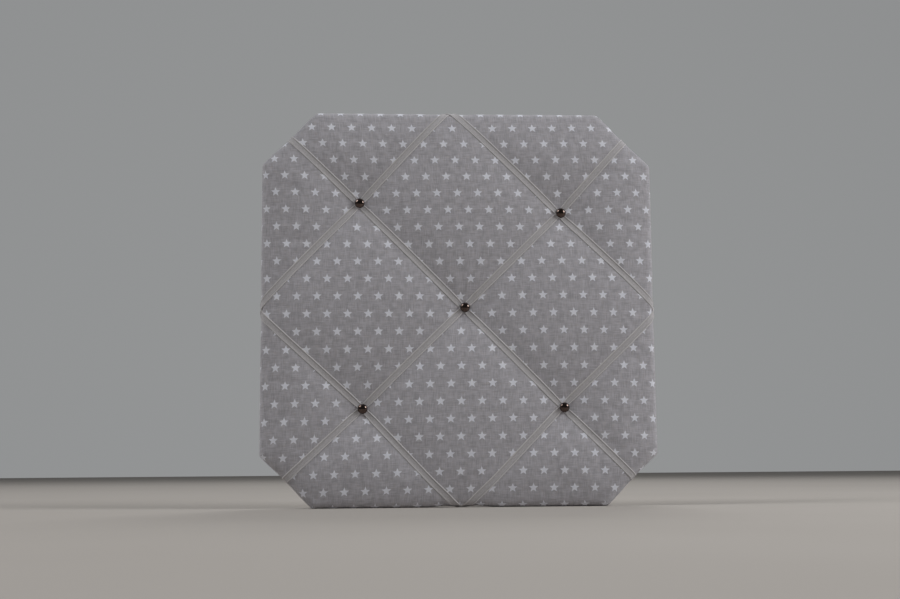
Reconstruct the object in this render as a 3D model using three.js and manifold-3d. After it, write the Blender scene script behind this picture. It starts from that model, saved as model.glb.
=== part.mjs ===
// French memo board: a fibreboard panel with cut-off corners, padded with wadding and
// covered in printed cotton. Six ribbons cross the front in a lattice, five dome-headed
// tacks hold their crossings down into the padding, and everything is turned over the
// edges and stapled on the back, where two D-rings on metal straps hang the board.
//
// Millimetres. X to the right, Y from the front to the back, Z up.

import * as THREE from 'three';
import Module from 'manifold-3d';
import { mergeVertices } from 'three/addons/utils/BufferGeometryUtils.js';

const wasm = await Module();
wasm.setup();

// Backing board
const boardSide = 390;
const boardChamfer = 49;
const boardThickness = 12;

// Wadding and cloth
const edgeWadding = 3.8;
const clothThickness = 0.6;
const hemWidth = 38;
const edgeRounding = 6;

// Height of the cloth above the board's face
const crownHeight = 15;
const crestHeight = 11;
const seatHeight = 6.5;
const rimHeight = 8;

// How far the padding takes to rise from a ribbon, from a tack and from the edge
const puffWidth = 62;
const dimpleReach = 34;
const rollWidth = 46;
const swellPower = 2.2;

// Ribbons
const ribbonWidth = 7;
const ribbonThickness = 0.4;
const ribbonTail = 25;
const ribbonPairSpacing = 6;
const valleyMargin = 0.7;

// Dents that the tight ribbons press into the edges, a little deeper than the ribbons
const dentMargin = 0.3;
const dentRamp = 20;

// Tacks
const tackPitch = 205;
const tackHeadRadius = 5;
const tackHeadHeight = 3.4;
const tackHeadWall = 0.6;
const tackShankRadius = 0.8;
const tackTipCover = 4.5;
const tackPoint = 2;

// Staples
const stapleCrown = 11;
const stapleWire = 0.6;
const stapleWireWidth = 1;
const stapleTipCover = 6.5;
const stapleInset = 16;
const sideStapleFromMiddle = 64;
const sideStapleFromCorner = 36;
const chamferStapleFromCorner = 16;

// D-ring hangers
const hangerInset = 75;
const hangerDrop = 70;
const strapWidth = 12;
const strapThickness = 1;
const curlMouth = 0.9;
const ringWireRadius = 1.1;
const ringSidePlay = 2;
const ringInnerDrop = 12;
const ringButtGap = 0.6;

// Hanger screws
const screwHeadRadius = 3.2;
const screwHeadHeight = 1.9;
const screwHeadEdge = 0.7;
const screwHeadFlat = 1.4;
const screwShankRadius = 1.4;
const screwTipCover = 3;
const screwPoint = 2.5;
const screwPlay = 5.5;
const screwSlotLength = 3.8;
const screwSlotWidth = 0.8;
const screwSlotDepth = 0.9;

// Clearance between pieces that lie on each other or pass through each other
const fitGap = 0.3;

// Small departures of a board set out by hand, in the plane of the front
const tackShift = {
  centre: [6, 0],
  upper_right: [3, -5],
  upper_left: [2, 4.5],
  lower_left: [5, 0.5],
  lower_right: [3, 1],
};
const sideShift = { right: -2, top: 7.5, left: 1, bottom: 0.8 };
const chamferShift = { upper_right: 0.7, upper_left: -2, lower_left: -3, lower_right: 3 };

// Facets
const headSides = 14;
const domeSteps = 4;
const hollowSteps = 2;
const holeSides = 8;
const wireSegments = 4;
const ringSteps = 28;
const roundingSteps = 2;
const curlSteps = 10;
const weldDistance = 1e-3;
const slopeProbe = 0.5;

// Stations along each seam, as shares of its length, closest where the padding bends most
const centreStations = [0, 0.1, 0.32, 0.68, 0.9, 1];
const sideStations = [0, 0.1, 0.4, 0.8, 1];
const chamferStations = [0, 0.15, 0.55, 1];

// Derived sizes
const halfSpan = boardSide / 2 + fitGap + edgeWadding + fitGap + clothThickness;
const spanGrowth = halfSpan - boardSide / 2;
const spanChamfer = boardChamfer + spanGrowth * (2 - Math.SQRT2);
const hemFace = boardThickness + fitGap + clothThickness;
const valleyHalf = ribbonWidth / 2 + valleyMargin;
const overLift = fitGap + ribbonThickness + fitGap;
const sideDent = overLift + ribbonThickness + dentMargin;
const chamferDent = fitGap + ribbonThickness + dentMargin;
const roundingLength = edgeRounding * Math.PI / 2;
const wallLength = hemFace + rimHeight - edgeRounding;
const cornerShrink = Math.tan(Math.PI / 8);
const tackSeat = seatHeight + overLift + ribbonThickness + fitGap;
const tackBite = boardThickness - tackTipCover;
const quarters = ['upper_right', 'upper_left', 'lower_left', 'lower_right'];
const sides = ['right', 'top', 'left', 'bottom'];

// Colours and finishes
const finishes = {
  cloth: new THREE.MeshStandardMaterial({ color: 0xb9b2aa, roughness: 0.92, metalness: 0 }),
  wadding: new THREE.MeshStandardMaterial({ color: 0xf2f0ea, roughness: 1, metalness: 0 }),
  ribbon: new THREE.MeshStandardMaterial({ color: 0xcfc4b4, roughness: 0.8, metalness: 0 }),
  board: new THREE.MeshStandardMaterial({ color: 0x9a7a56, roughness: 0.95, metalness: 0 }),
  tack: new THREE.MeshStandardMaterial({ color: 0x3a322c, roughness: 0.35, metalness: 1 }),
  steel: new THREE.MeshStandardMaterial({ color: 0xb8b8b4, roughness: 0.35, metalness: 1 }),
};

const flat = (x, z) => new THREE.Vector2(x, z);
const mix = (from, to, share) => from.clone().lerp(to, share);
const wrap = (index, count) => (index + count) % count;

// The eight edges of the cloth's outline, counter-clockwise from the right side as seen
// from the front. Even ones are sides and odd ones are the cut-off corners.
const edges = Array.from({ length: 8 }, (_, index) => {
  const angle = index * Math.PI / 4;
  const isSide = index % 2 === 0;
  return {
    normal: flat(Math.cos(angle), Math.sin(angle)),
    along: flat(-Math.sin(angle), Math.cos(angle)),
    reach: isSide ? halfSpan : (2 * halfSpan - spanChamfer) / Math.SQRT2,
    halfLength: isSide ? halfSpan - spanChamfer : spanChamfer / Math.SQRT2,
    middle: isSide ? sideShift[sides[index / 2]] : chamferShift[quarters[(index - 1) / 2]],
    dent: isSide ? sideDent : chamferDent,
  };
});

// Point at a distance along an edge and an inset from the outline
function edgePoint(edge, offset, inset) {
  return edge.normal.clone().multiplyScalar(edge.reach - inset).addScaledVector(edge.along, offset);
}

// Half the length of an edge once the outline is drawn in by an inset
function halfLengthAt(edge, inset) {
  return edge.halfLength - inset * cornerShrink;
}

// Tacks, and the points where each ribbon reaches the start of the rounded edge
const centre = flat(...tackShift.centre);
const tacks = quarters.map((quarter, index) => {
  const angle = Math.PI / 4 + index * Math.PI / 2;
  const nominal = flat(Math.cos(angle), Math.sin(angle)).multiplyScalar(tackPitch / Math.SQRT2);
  return nominal.add(flat(...tackShift[quarter]));
});

// A ribbon leaves a tack in a straight line, and keeps its line over the rounded edge as
// if the cloth were laid flat, to cross the edge's widest line at a set offset.
function ribbonEnd(tack, edge, offsetAtWidest) {
  const run = edge.reach - edgeRounding - tack.dot(edge.normal);
  const start = tack.dot(edge.along);
  const offset = (offsetAtWidest + roundingLength * start / run) / (1 + roundingLength / run);
  return { edge, offset, slope: (offset - start) / run, point: edgePoint(edge, offset, edgeRounding) };
}

const branches = tacks.map((tack, index) => {
  const sideA = edges[2 * index];
  const chamfer = edges[2 * index + 1];
  const sideB = edges[wrap(2 * index + 2, 8)];
  return {
    a: ribbonEnd(tack, sideA, sideA.middle + ribbonPairSpacing / 2),
    d: ribbonEnd(tack, chamfer, chamfer.middle),
    b: ribbonEnd(tack, sideB, sideB.middle - ribbonPairSpacing / 2),
  };
});

const seams = tacks.flatMap((tack, index) => [
  [centre, tack],
  [tack, branches[index].a.point],
  [tack, branches[index].d.point],
  [tack, branches[index].b.point],
]);

function distanceToSeam(point, [from, to]) {
  const run = to.clone().sub(from);
  const share = THREE.MathUtils.clamp(point.clone().sub(from).dot(run) / run.lengthSq(), 0, 1);
  return point.distanceTo(mix(from, to, share));
}

// Height of the cloth over the board: cushions that swell between the ribbons, ribbons
// that dip to each tack, and everything rolling down to the rim at the edge.
function padHeight(point) {
  let puff = 1;
  for (const seam of seams) {
    const rise = (distanceToSeam(point, seam) - valleyHalf) / puffWidth;
    puff *= 1 - (1 - THREE.MathUtils.clamp(rise, 0, 1)) ** swellPower;
  }
  let dimple = 0;
  for (const tack of [centre, ...tacks]) {
    const away = Math.max(0, point.distanceTo(tack) - valleyHalf * Math.SQRT2);
    dimple += Math.exp(-((away / dimpleReach) ** 2));
  }
  const inside = Math.min(...edges.map((edge) => edge.reach - edgeRounding - point.dot(edge.normal)));
  const roll = THREE.MathUtils.smoothstep(inside, 0, rollWidth);
  const seamHeight = crestHeight - (crestHeight - seatHeight) * Math.min(dimple, 1);
  const padded = seamHeight + (crownHeight - seamHeight) * puff;
  return rimHeight + (padded - rimHeight) * roll;
}

// How much further along Y a layer lies where the padding slopes
function steepness(point) {
  const slopeAlong = (step) => {
    const rise = padHeight(point.clone().add(step)) - padHeight(point.clone().sub(step));
    return rise / (2 * slopeProbe);
  };
  return Math.hypot(1, slopeAlong(flat(slopeProbe, 0)), slopeAlong(flat(0, slopeProbe)));
}

// Section through the edge of a layer that lies a depth under the cloth's face: the
// rounding, the wall and the hem on the back. A negative depth lies over the cloth.
function edgeSection(depth) {
  const section = [];
  for (let step = 0; step <= roundingSteps; step += 1) {
    const angle = Math.PI / 2 * step / roundingSteps;
    const radius = edgeRounding - depth;
    section.push({
      inset: edgeRounding - radius * Math.sin(angle),
      y: edgeRounding - rimHeight - radius * Math.cos(angle),
      run: edgeRounding * angle,
    });
  }
  section.push({ inset: depth, y: hemFace - depth, run: roundingLength + wallLength });
  return section;
}

// A vertex of the front is a flat point, and one on the rim also knows its edge
const innerVertex = (point) => ({ point });

function rimVertex(edge, offset, dent) {
  return { point: edgePoint(edge, offset, edgeRounding + dent), edge, offset, dent };
}

function placeOnFront(vertex, depth) {
  const { x, y: z } = vertex.point;
  const lift = vertex.edge ? rimHeight - depth : padHeight(vertex.point) - depth * steepness(vertex.point);
  return new THREE.Vector3(x, -lift, z);
}

// Vertices on the rim slide along their edge in step as the outline is drawn in
function placeOnEdge(vertex, { inset, y }, dent) {
  const { edge } = vertex;
  const stretch = halfLengthAt(edge, inset) / halfLengthAt(edge, edgeRounding);
  const point = edgePoint(edge, vertex.offset * stretch, inset + dent);
  return new THREE.Vector3(point.x, y, point.y);
}

// Borders of a ribbon's valley, and where two borders meet
function border(from, to, side) {
  const run = to.clone().sub(from).normalize();
  const across = flat(-run.y, run.x).multiplyScalar(side * valleyHalf);
  return { start: from.clone().add(across), run };
}

function meet(first, second) {
  const between = second.start.clone().sub(first.start);
  const share = between.cross(second.run) / first.run.cross(second.run);
  return first.start.clone().addScaledVector(first.run, share);
}

function meetRim(line, end) {
  const gap = end.edge.reach - edgeRounding - line.start.dot(end.edge.normal);
  const point = line.start.clone().addScaledVector(line.run, gap / line.run.dot(end.edge.normal));
  return rimVertex(end.edge, point.dot(end.edge.along), end.edge.dent);
}

// Valley strips. Left and right are as seen going outwards from the centre or a tack.
const leftOf = (from, to) => border(from, to, 1);
const rightOf = (from, to) => border(from, to, -1);

const knots = tacks.map((tack, index) => {
  const { a, d, b } = branches[index];
  return {
    ad: meet(leftOf(tack, a.point), rightOf(tack, d.point)),
    db: meet(leftOf(tack, d.point), rightOf(tack, b.point)),
    bo: meet(leftOf(tack, b.point), rightOf(tack, centre)),
    oa: meet(leftOf(tack, centre), rightOf(tack, a.point)),
  };
});

const heart = tacks.map((tack, index) => {
  const next = tacks[wrap(index + 1, 4)];
  return meet(leftOf(centre, tack), rightOf(centre, next));
});

function row(first, last, stations) {
  return stations.map((share) => {
    if (share === 0) return first;
    if (share === 1) return last;
    return innerVertex(mix(first.point, last.point, share));
  });
}

function rimStrip(tack, end, leftKnot, rightKnot, stations) {
  const left = row(innerVertex(leftKnot), meetRim(leftOf(tack, end.point), end), stations);
  const right = row(innerVertex(rightKnot), meetRim(rightOf(tack, end.point), end), stations);
  return { left, right, end };
}

const strips = tacks.map((tack, index) => {
  const { a, d, b } = branches[index];
  const { ad, db, bo, oa } = knots[index];
  const before = heart[wrap(index - 1, 4)];
  return {
    o: {
      left: row(innerVertex(heart[index]), innerVertex(bo), centreStations),
      right: row(innerVertex(before), innerVertex(oa), centreStations),
    },
    a: rimStrip(tack, a, ad, oa, sideStations),
    d: rimStrip(tack, d, db, ad, chamferStations),
    b: rimStrip(tack, b, bo, db, sideStations),
  };
});

const last = (list) => list[list.length - 1];

// Rim vertices from a ribbon's valley to the end of its edge, without the first
function rimRun(start, direction, count, ramp) {
  const { edge } = start;
  const end = direction * halfLengthAt(edge, edgeRounding);
  const first = ramp ? start.offset + direction * ramp : start.offset;
  const vertices = ramp ? [rimVertex(edge, first, 0)] : [];
  const steps = count - vertices.length;
  for (let step = 1; step <= steps; step += 1) {
    vertices.push(rimVertex(edge, THREE.MathUtils.lerp(first, end, step / steps), 0));
  }
  return vertices;
}

const sideCount = chamferStations.length - 1;
const chamferCount = sideStations.length - 1;

const rims = strips.map((strip, index) => {
  const previous = strips[wrap(index - 1, 4)];
  const side = edges[2 * index];
  return {
    sideUp: rimRun(last(strip.a.left), 1, sideCount, dentRamp),
    sideDown: rimRun(last(previous.b.right), -1, sideCount, dentRamp),
    middle: rimVertex(side, side.middle, side.dent),
    chamferUp: rimRun(last(strip.d.left), 1, chamferCount, 0),
    chamferDown: rimRun(last(strip.d.right), -1, chamferCount, 0),
  };
});

// Every rim vertex once, counter-clockwise, without the one that the next edge starts with
const columns = strips.flatMap((strip, index) => {
  const previous = strips[wrap(index - 1, 4)];
  const rim = rims[index];
  const side = [
    ...[...rim.sideDown].reverse(),
    last(previous.b.right),
    last(previous.b.left),
    rim.middle,
    last(strip.a.right),
    last(strip.a.left),
    ...rim.sideUp,
  ];
  const chamfer = [
    ...[...rim.chamferDown].reverse(),
    last(strip.d.right),
    last(strip.d.left),
    ...rim.chamferUp,
  ];
  return [...side.slice(0, -1), ...chamfer.slice(0, -1)];
});

// Shares of the length along a polyline of vertices
function shares(line) {
  const lengths = [0];
  for (let index = 1; index < line.length; index += 1) {
    lengths.push(lengths[index - 1] + line[index].point.distanceTo(line[index - 1].point));
  }
  return lengths.map((length) => length / last(lengths));
}

// Coons patch: the surface between four border lines, blended from both pairs
function patch(bottom, top, left, right) {
  const [sBottom, sTop, sLeft, sRight] = [bottom, top, left, right].map(shares);
  const rows = left.map((_, v) => bottom.map((__, u) => {
    if (v === 0) return bottom[u];
    if (v === left.length - 1) return top[u];
    if (u === 0) return left[v];
    if (u === bottom.length - 1) return right[v];
    const up = (sLeft[v] + sRight[v]) / 2;
    const across = THREE.MathUtils.lerp(sBottom[u], sTop[u], up);
    const between = mix(bottom[u].point, top[u].point, up);
    between.add(mix(left[v].point, right[v].point, across));
    const low = mix(bottom[0].point, last(bottom).point, across);
    const high = mix(top[0].point, last(top).point, across);
    return innerVertex(between.sub(mix(low, high, up)));
  }));
  return quadsOf(rows);
}

function quadsOf(rows) {
  const quads = [];
  for (let v = 1; v < rows.length; v += 1) {
    for (let u = 1; u < rows[v].length; u += 1) {
      quads.push([rows[v - 1][u - 1], rows[v - 1][u], rows[v][u], rows[v][u - 1]]);
    }
  }
  return quads;
}

// The front: cushions between the ribbons, the valleys under them, and their crossings
const frontQuads = strips.flatMap((strip, index) => {
  const next = strips[wrap(index + 1, 4)];
  const nextRim = rims[wrap(index + 1, 4)];
  const rim = rims[index];
  const knot = knots[index];
  const middle = nextRim.middle;
  return [
    ...patch(strip.o.left, [...next.a.right, middle], next.o.right, [...strip.b.left, middle]),
    ...patch(
      strip.a.left,
      [last(strip.d.right), ...rim.chamferDown],
      strip.d.right,
      [last(strip.a.left), ...rim.sideUp],
    ),
    ...patch(
      strip.b.right,
      [last(strip.d.left), ...rim.chamferUp],
      strip.d.left,
      [last(strip.b.right), ...nextRim.sideDown],
    ),
    ...['o', 'a', 'd', 'b'].flatMap((key) => quadsOf([strip[key].left, strip[key].right])),
    [innerVertex(knot.ad), innerVertex(knot.db), innerVertex(knot.bo), innerVertex(knot.oa)],
  ];
});
frontQuads.push(heart.map(innerVertex));

const turn = (first, second, third) => second.point.clone().sub(first.point)
  .cross(third.point.clone().sub(first.point));

const frontFaces = frontQuads.flatMap(([p, q, r, s]) => [[p, q, r], [p, r, s]])
  .map(([p, q, r]) => (turn(p, q, r) > 0 ? [p, q, r] : [p, r, q]));

// Triangles of a layer: its front, then the bands of its edge section
function layer(depth, section) {
  const triangles = frontFaces.map((face) => face.map((vertex) => placeOnFront(vertex, depth)));
  return [...triangles, ...bands(section)];
}

function bands(section) {
  const triangles = [];
  for (let index = 0; index < columns.length; index += 1) {
    const here = columns[index];
    const there = columns[wrap(index + 1, columns.length)];
    for (let step = 1; step < section.length; step += 1) {
      const [near, far] = [section[step - 1], section[step]];
      const a = placeOnEdge(there, near, near.straight ? 0 : there.dent);
      const b = placeOnEdge(here, near, near.straight ? 0 : here.dent);
      const c = placeOnEdge(here, far, far.straight ? 0 : here.dent);
      const d = placeOnEdge(there, far, far.straight ? 0 : there.dent);
      triangles.push([a, b, c], [a, c, d]);
    }
  }
  return triangles;
}

const reversed = (triangles) => triangles.map(([a, b, c]) => [a, c, b]);

// Triangles to a closed solid, and a closed solid back to a geometry
function geometryOf(triangles) {
  const positions = triangles.flat().flatMap((point) => point.toArray());
  const geometry = new THREE.BufferGeometry();
  geometry.setAttribute('position', new THREE.Float32BufferAttribute(positions, 3));
  return geometry;
}

function solidOf(geometry) {
  const bare = geometry.clone();
  bare.deleteAttribute('normal');
  bare.deleteAttribute('uv');
  const merged = mergeVertices(bare, weldDistance);
  const corners = Array.from(merged.index.array);
  const triVerts = [];
  for (let index = 0; index < corners.length; index += 3) {
    const [a, b, c] = corners.slice(index, index + 3);
    if (a !== b && b !== c && c !== a) triVerts.push(a, b, c);
  }
  return new wasm.Manifold(new wasm.Mesh({
    numProp: 3,
    vertProperties: new Float32Array(merged.attributes.position.array),
    triVerts: new Uint32Array(triVerts),
  }));
}

function geometryFrom(solid) {
  const mesh = solid.getMesh();
  const geometry = new THREE.BufferGeometry();
  geometry.setAttribute('position', new THREE.Float32BufferAttribute(mesh.vertProperties, 3));
  geometry.setIndex(Array.from(mesh.triVerts));
  return geometry;
}

const cutAll = (solid, cutters) => cutters.reduce((rest, cutter) => rest.subtract(cutter), solid);

// Round hole through Y at a point of the front plane
function drill(point, radius, fromY, toY) {
  const geometry = new THREE.CylinderGeometry(radius, radius, toY - fromY, holeSides);
  geometry.translate(point.x, (fromY + toY) / 2, point.y);
  return solidOf(geometry);
}

const memoBoard = new THREE.Group();

function addPiece(name, geometry, finish) {
  const piece = new THREE.Mesh(geometry, finish);
  piece.name = name;
  memoBoard.add(piece);
  return piece;
}

// Staples
const stapleLeg = stapleCrown / 2 - stapleWire / 2;

// Leg holes of one staple, which keep the clearance all round
function stapleHoles({ point, angle, seat }) {
  const floor = stapleTipCover - fitGap;
  return [-stapleLeg, stapleLeg].map((offset) => {
    const geometry = new THREE.BoxGeometry(
      stapleWire + 2 * fitGap,
      seat - floor,
      stapleWireWidth + 2 * fitGap,
    );
    geometry.translate(offset, (floor + seat) / 2, 0);
    geometry.rotateY(-angle);
    geometry.translate(point.x, 0, point.y);
    return solidOf(geometry);
  });
}

// The bent wire, with its crown lying on Y = 0 and its legs pointing to -Y
function stapleGeometry(legLength) {
  const half = stapleCrown / 2;
  const outline = new THREE.Shape();
  outline.moveTo(-half, stapleWire);
  outline.lineTo(-half, -legLength);
  outline.lineTo(-half + stapleWire, -legLength);
  outline.lineTo(-half + stapleWire, 0);
  outline.lineTo(half - stapleWire, 0);
  outline.lineTo(half - stapleWire, -legLength);
  outline.lineTo(half, -legLength);
  outline.lineTo(half, stapleWire);
  const geometry = new THREE.ExtrudeGeometry(outline, { depth: stapleWireWidth, bevelEnabled: false });
  geometry.translate(0, 0, -stapleWireWidth / 2);
  return geometry;
}

const stapleAngle = (run) => Math.atan2(run.y, run.x);

const hemStaples = edges.flatMap((edge, index) => {
  const offsets = index % 2 === 0
    ? [sideStapleFromMiddle, edge.halfLength - sideStapleFromCorner]
    : [edge.halfLength - chamferStapleFromCorner];
  return offsets.flatMap((offset) => [-offset, offset]).map((offset) => ({
    point: edgePoint(edge, offset, stapleInset),
    angle: stapleAngle(edge.along),
    seat: hemFace + fitGap,
  }));
});

// Each ribbon end is held by a staple that straddles it
function tailStaple(end) {
  const run = roundingLength + wallLength + stapleInset;
  const heading = end.edge.normal.clone().negate().addScaledVector(end.edge.along, end.slope);
  return {
    point: edgePoint(end.edge, end.offset + end.slope * run, stapleInset),
    angle: stapleAngle(flat(-heading.y, heading.x)),
    seat: hemFace + fitGap + ribbonThickness + fitGap,
  };
}

const tailStaples = branches.flatMap(({ a, d, b }) => [a, d, b].map(tailStaple));
const allStaples = [...hemStaples, ...tailStaples];
const stapleCutters = allStaples.flatMap(stapleHoles);

const tackPoints = [centre, ...tacks];
const tackHoleRadius = tackShankRadius + fitGap;
const tackFloor = tackBite + fitGap;
const tackCutters = tackPoints.map((point) => drill(point, tackHoleRadius, -crownHeight, tackFloor));

// Hanger places on the back, where X is the bar of each ring
const hangers = [
  { side: 'left', x: hangerInset - halfSpan },
  { side: 'right', x: halfSpan - hangerInset },
];
const curlBore = ringWireRadius + fitGap;
const curlRadius = curlBore + strapThickness;
const curlEnd = Math.PI + Math.asin((curlBore - curlMouth) / curlRadius);
const ringDrop = ringInnerDrop + 2 * ringWireRadius;
const strapScrewDrop = ringDrop + ringWireRadius + screwPlay + screwHeadRadius;
const barHeight = halfSpan - hangerDrop;
const barY = boardThickness + fitGap + curlRadius;
const screwZ = barHeight - strapScrewDrop;
const screwSeat = boardThickness + fitGap + strapThickness + fitGap;
const screwHoleRadius = screwShankRadius + fitGap;
const screwCutters = hangers.map(({ x }) => drill(
  flat(x, screwZ),
  screwHoleRadius,
  screwTipCover - fitGap,
  screwSeat,
));

// Backing board
function octagon(half, leg) {
  const points = [];
  for (const [sx, sz] of [[1, 1], [-1, 1], [-1, -1], [1, -1]]) {
    const onSide = flat(sx * half, sz * (half - leg));
    const onTop = flat(sx * (half - leg), sz * half);
    points.push(...(sx * sz > 0 ? [onSide, onTop] : [onTop, onSide]));
  }
  return new THREE.Shape(points);
}

function backingBoard() {
  const geometry = new THREE.ExtrudeGeometry(
    octagon(boardSide / 2, boardChamfer),
    { depth: boardThickness, bevelEnabled: false },
  );
  geometry.rotateX(Math.PI / 2);
  geometry.translate(0, boardThickness, 0);
  const cutters = [...tackCutters, ...screwCutters, ...stapleCutters];
  return geometryFrom(cutAll(solidOf(geometry), cutters));
}

addPiece('backing_board', backingBoard(), finishes.board);

// Wadding: under the cloth on the front and round the edges, level with the board's back
function waddingPad() {
  const depth = clothThickness + fitGap;
  const section = edgeSection(depth);
  const lip = last(section);
  lip.y = boardThickness;
  const innerInset = spanGrowth - fitGap;
  section.push({ inset: innerInset, y: boardThickness, straight: true });
  section.push({ inset: innerInset, y: -fitGap, straight: true });
  const shell = layer(depth, section);
  const hub = new THREE.Vector3(0, -fitGap, 0);
  const floor = last(section);
  const fan = columns.map((column, index) => {
    const next = columns[wrap(index + 1, columns.length)];
    return [hub, placeOnEdge(next, floor, 0), placeOnEdge(column, floor, 0)];
  });
  return geometryFrom(cutAll(solidOf(geometryOf([...shell, ...fan])), tackCutters));
}

addPiece('wadding', waddingPad(), finishes.wadding);

// Cloth: one sheet over the front, round the edges and turned on to the back
function fabricCover() {
  const hemSection = (depth) => [
    ...edgeSection(depth),
    { inset: hemWidth, y: hemFace - depth, straight: true },
  ];
  const outside = hemSection(0);
  const inside = hemSection(clothThickness);
  const triangles = [
    ...layer(0, outside),
    ...reversed(layer(clothThickness, inside)),
    ...bands([last(outside), last(inside)]),
  ];
  return geometryFrom(cutAll(solidOf(geometryOf(triangles)), [...tackCutters, ...stapleCutters]));
}

addPiece('fabric_cover', fabricCover(), finishes.cloth);

// Ribbons
const ribbonShare = (1 - ribbonWidth / (2 * valleyHalf)) / 2;

// Four corners of a ribbon's section on the front, lifted off the cloth
function frontSection(left, right, lift) {
  const corner = (share, height) => placeOnFront(left, -height).lerp(placeOnFront(right, -height), share);
  const top = lift + ribbonThickness;
  return [
    corner(ribbonShare, lift),
    corner(1 - ribbonShare, lift),
    corner(1 - ribbonShare, top),
    corner(ribbonShare, top),
  ];
}

// Sections of a ribbon along one valley, outwards, with its lift at both ends
function valleySections(strip, innerLift, outerLift) {
  return strip.left.map((left, index) => {
    let lift = fitGap;
    if (index === 0) lift = innerLift;
    if (index === strip.left.length - 1) lift = outerLift;
    return frontSection(left, strip.right[index], lift);
  });
}

// Sections of a ribbon over the edge and on to the back, past the one on the rim
function wrapSections(strip, lift) {
  const { edge, slope } = strip.end;
  const offsets = [ribbonShare, 1 - ribbonShare]
    .map((share) => THREE.MathUtils.lerp(last(strip.left).offset, last(strip.right).offset, share));
  const corner = (offset, { inset, y, run }, dent) => {
    const point = edgePoint(edge, offset + slope * run, inset + dent);
    return new THREE.Vector3(point.x, y, point.y);
  };
  const lay = (low, high, dent) => [
    corner(offsets[0], low, dent),
    corner(offsets[1], low, dent),
    corner(offsets[1], high, dent),
    corner(offsets[0], high, dent),
  ];
  const low = edgeSection(-lift);
  const high = edgeSection(-lift - ribbonThickness);
  const turned = low.slice(1).map((station, index) => lay(station, high[index + 1], edge.dent));
  // The tail lies flat on the hem from one ribbon's width in
  const tail = [ribbonWidth, ribbonTail].map((inset) => {
    const run = roundingLength + wallLength + inset;
    const station = (height) => ({ inset, y: hemFace + height, run });
    return lay(station(fitGap), station(fitGap + ribbonThickness), 0);
  });
  return [...turned, ...tail];
}

// The same sections met from the other end, so left and right change places
const backwards = (sections) => [...sections].reverse().map(([a, b, c, d]) => [b, a, d, c]);

function ribbonSolid(sections) {
  const triangles = [];
  for (let step = 1; step < sections.length; step += 1) {
    const [near, far] = [sections[step - 1], sections[step]];
    for (let side = 0; side < 4; side += 1) {
      const next = wrap(side + 1, 4);
      triangles.push([near[side], far[next], near[next]], [near[side], far[side], far[next]]);
    }
  }
  const [a, b, c, d] = sections[0];
  const [e, f, g, h] = last(sections);
  triangles.push([a, b, c], [a, c, d], [e, g, f], [e, h, g]);
  return solidOf(geometryOf(triangles));
}

const ribbonCutters = [...tackCutters, ...stapleCutters];
const ribbonGeometry = (sections) => geometryFrom(cutAll(ribbonSolid(sections), ribbonCutters));

// A long ribbon runs from one cut-off corner to the other through three tacks
function longRibbon(from, to, liftAtCentre) {
  const half = (strip) => [
    ...valleySections(strip.o, liftAtCentre, fitGap),
    ...valleySections(strip.d, fitGap, fitGap),
    ...wrapSections(strip.d, fitGap),
  ];
  return ribbonGeometry([...backwards(half(strips[from])), ...half(strips[to])]);
}

// A short ribbon runs from one side to the next through one tack, over the long ribbon
// there, and crosses its neighbours on the edges: under one and over the other.
function shortRibbon(strip) {
  const half = (way, edgeLift) => [
    ...valleySections(way, overLift, edgeLift),
    ...wrapSections(way, edgeLift),
  ];
  return ribbonGeometry([...backwards(half(strip.a, fitGap)), ...half(strip.b, overLift)]);
}

addPiece('ribbon_long_falling', longRibbon(1, 3, fitGap), finishes.ribbon);
addPiece('ribbon_long_rising', longRibbon(2, 0, overLift), finishes.ribbon);
strips.forEach((strip, index) => {
  addPiece(`ribbon_short_${quarters[index]}`, shortRibbon(strip), finishes.ribbon);
});

// Tacks: a hollow dome on a pointed shank, along Y with the rim of the dome at Y = 0
function tackGeometry() {
  const arc = (radius, height, from, to, steps) => Array.from({ length: steps + 1 }, (_, step) => {
    const angle = THREE.MathUtils.lerp(from, to, step / steps);
    return flat(radius * Math.sin(angle), -height * Math.cos(angle));
  });
  const innerRadius = tackHeadRadius - tackHeadWall;
  const innerHeight = tackHeadHeight - tackHeadWall;
  const shankAngle = Math.asin(tackShankRadius / innerRadius);
  const tip = tackSeat + tackBite;
  const profile = [
    ...arc(tackHeadRadius, tackHeadHeight, 0, Math.PI / 2, domeSteps),
    ...arc(innerRadius, innerHeight, Math.PI / 2, shankAngle, hollowSteps),
    flat(tackShankRadius, tip - tackPoint),
    flat(0, tip),
  ];
  return geometryFrom(solidOf(new THREE.LatheGeometry(profile, headSides)));
}

['centre', ...quarters].forEach((place, index) => {
  const tack = addPiece(`tack_${place}`, tackGeometry(), finishes.tack);
  tack.position.set(tackPoints[index].x, -tackSeat, tackPoints[index].y);
});

// D-ring hangers
function strapGeometry() {
  const profile = new THREE.Shape();
  const plateEnd = strapScrewDrop + strapWidth / 2;
  profile.moveTo(-plateEnd, -curlRadius);
  profile.lineTo(0, -curlRadius);
  profile.absarc(0, 0, curlRadius, -Math.PI / 2, curlEnd, false);
  profile.absarc(0, 0, curlBore, curlEnd, -Math.PI / 2, true);
  profile.lineTo(-plateEnd, -curlBore);
  const settings = { depth: strapWidth, bevelEnabled: false, curveSegments: curlSteps };
  const geometry = new THREE.ExtrudeGeometry(profile, settings);
  geometry.translate(0, 0, -strapWidth / 2);
  geometry.rotateY(-Math.PI / 2);
  return geometry;
}

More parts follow.
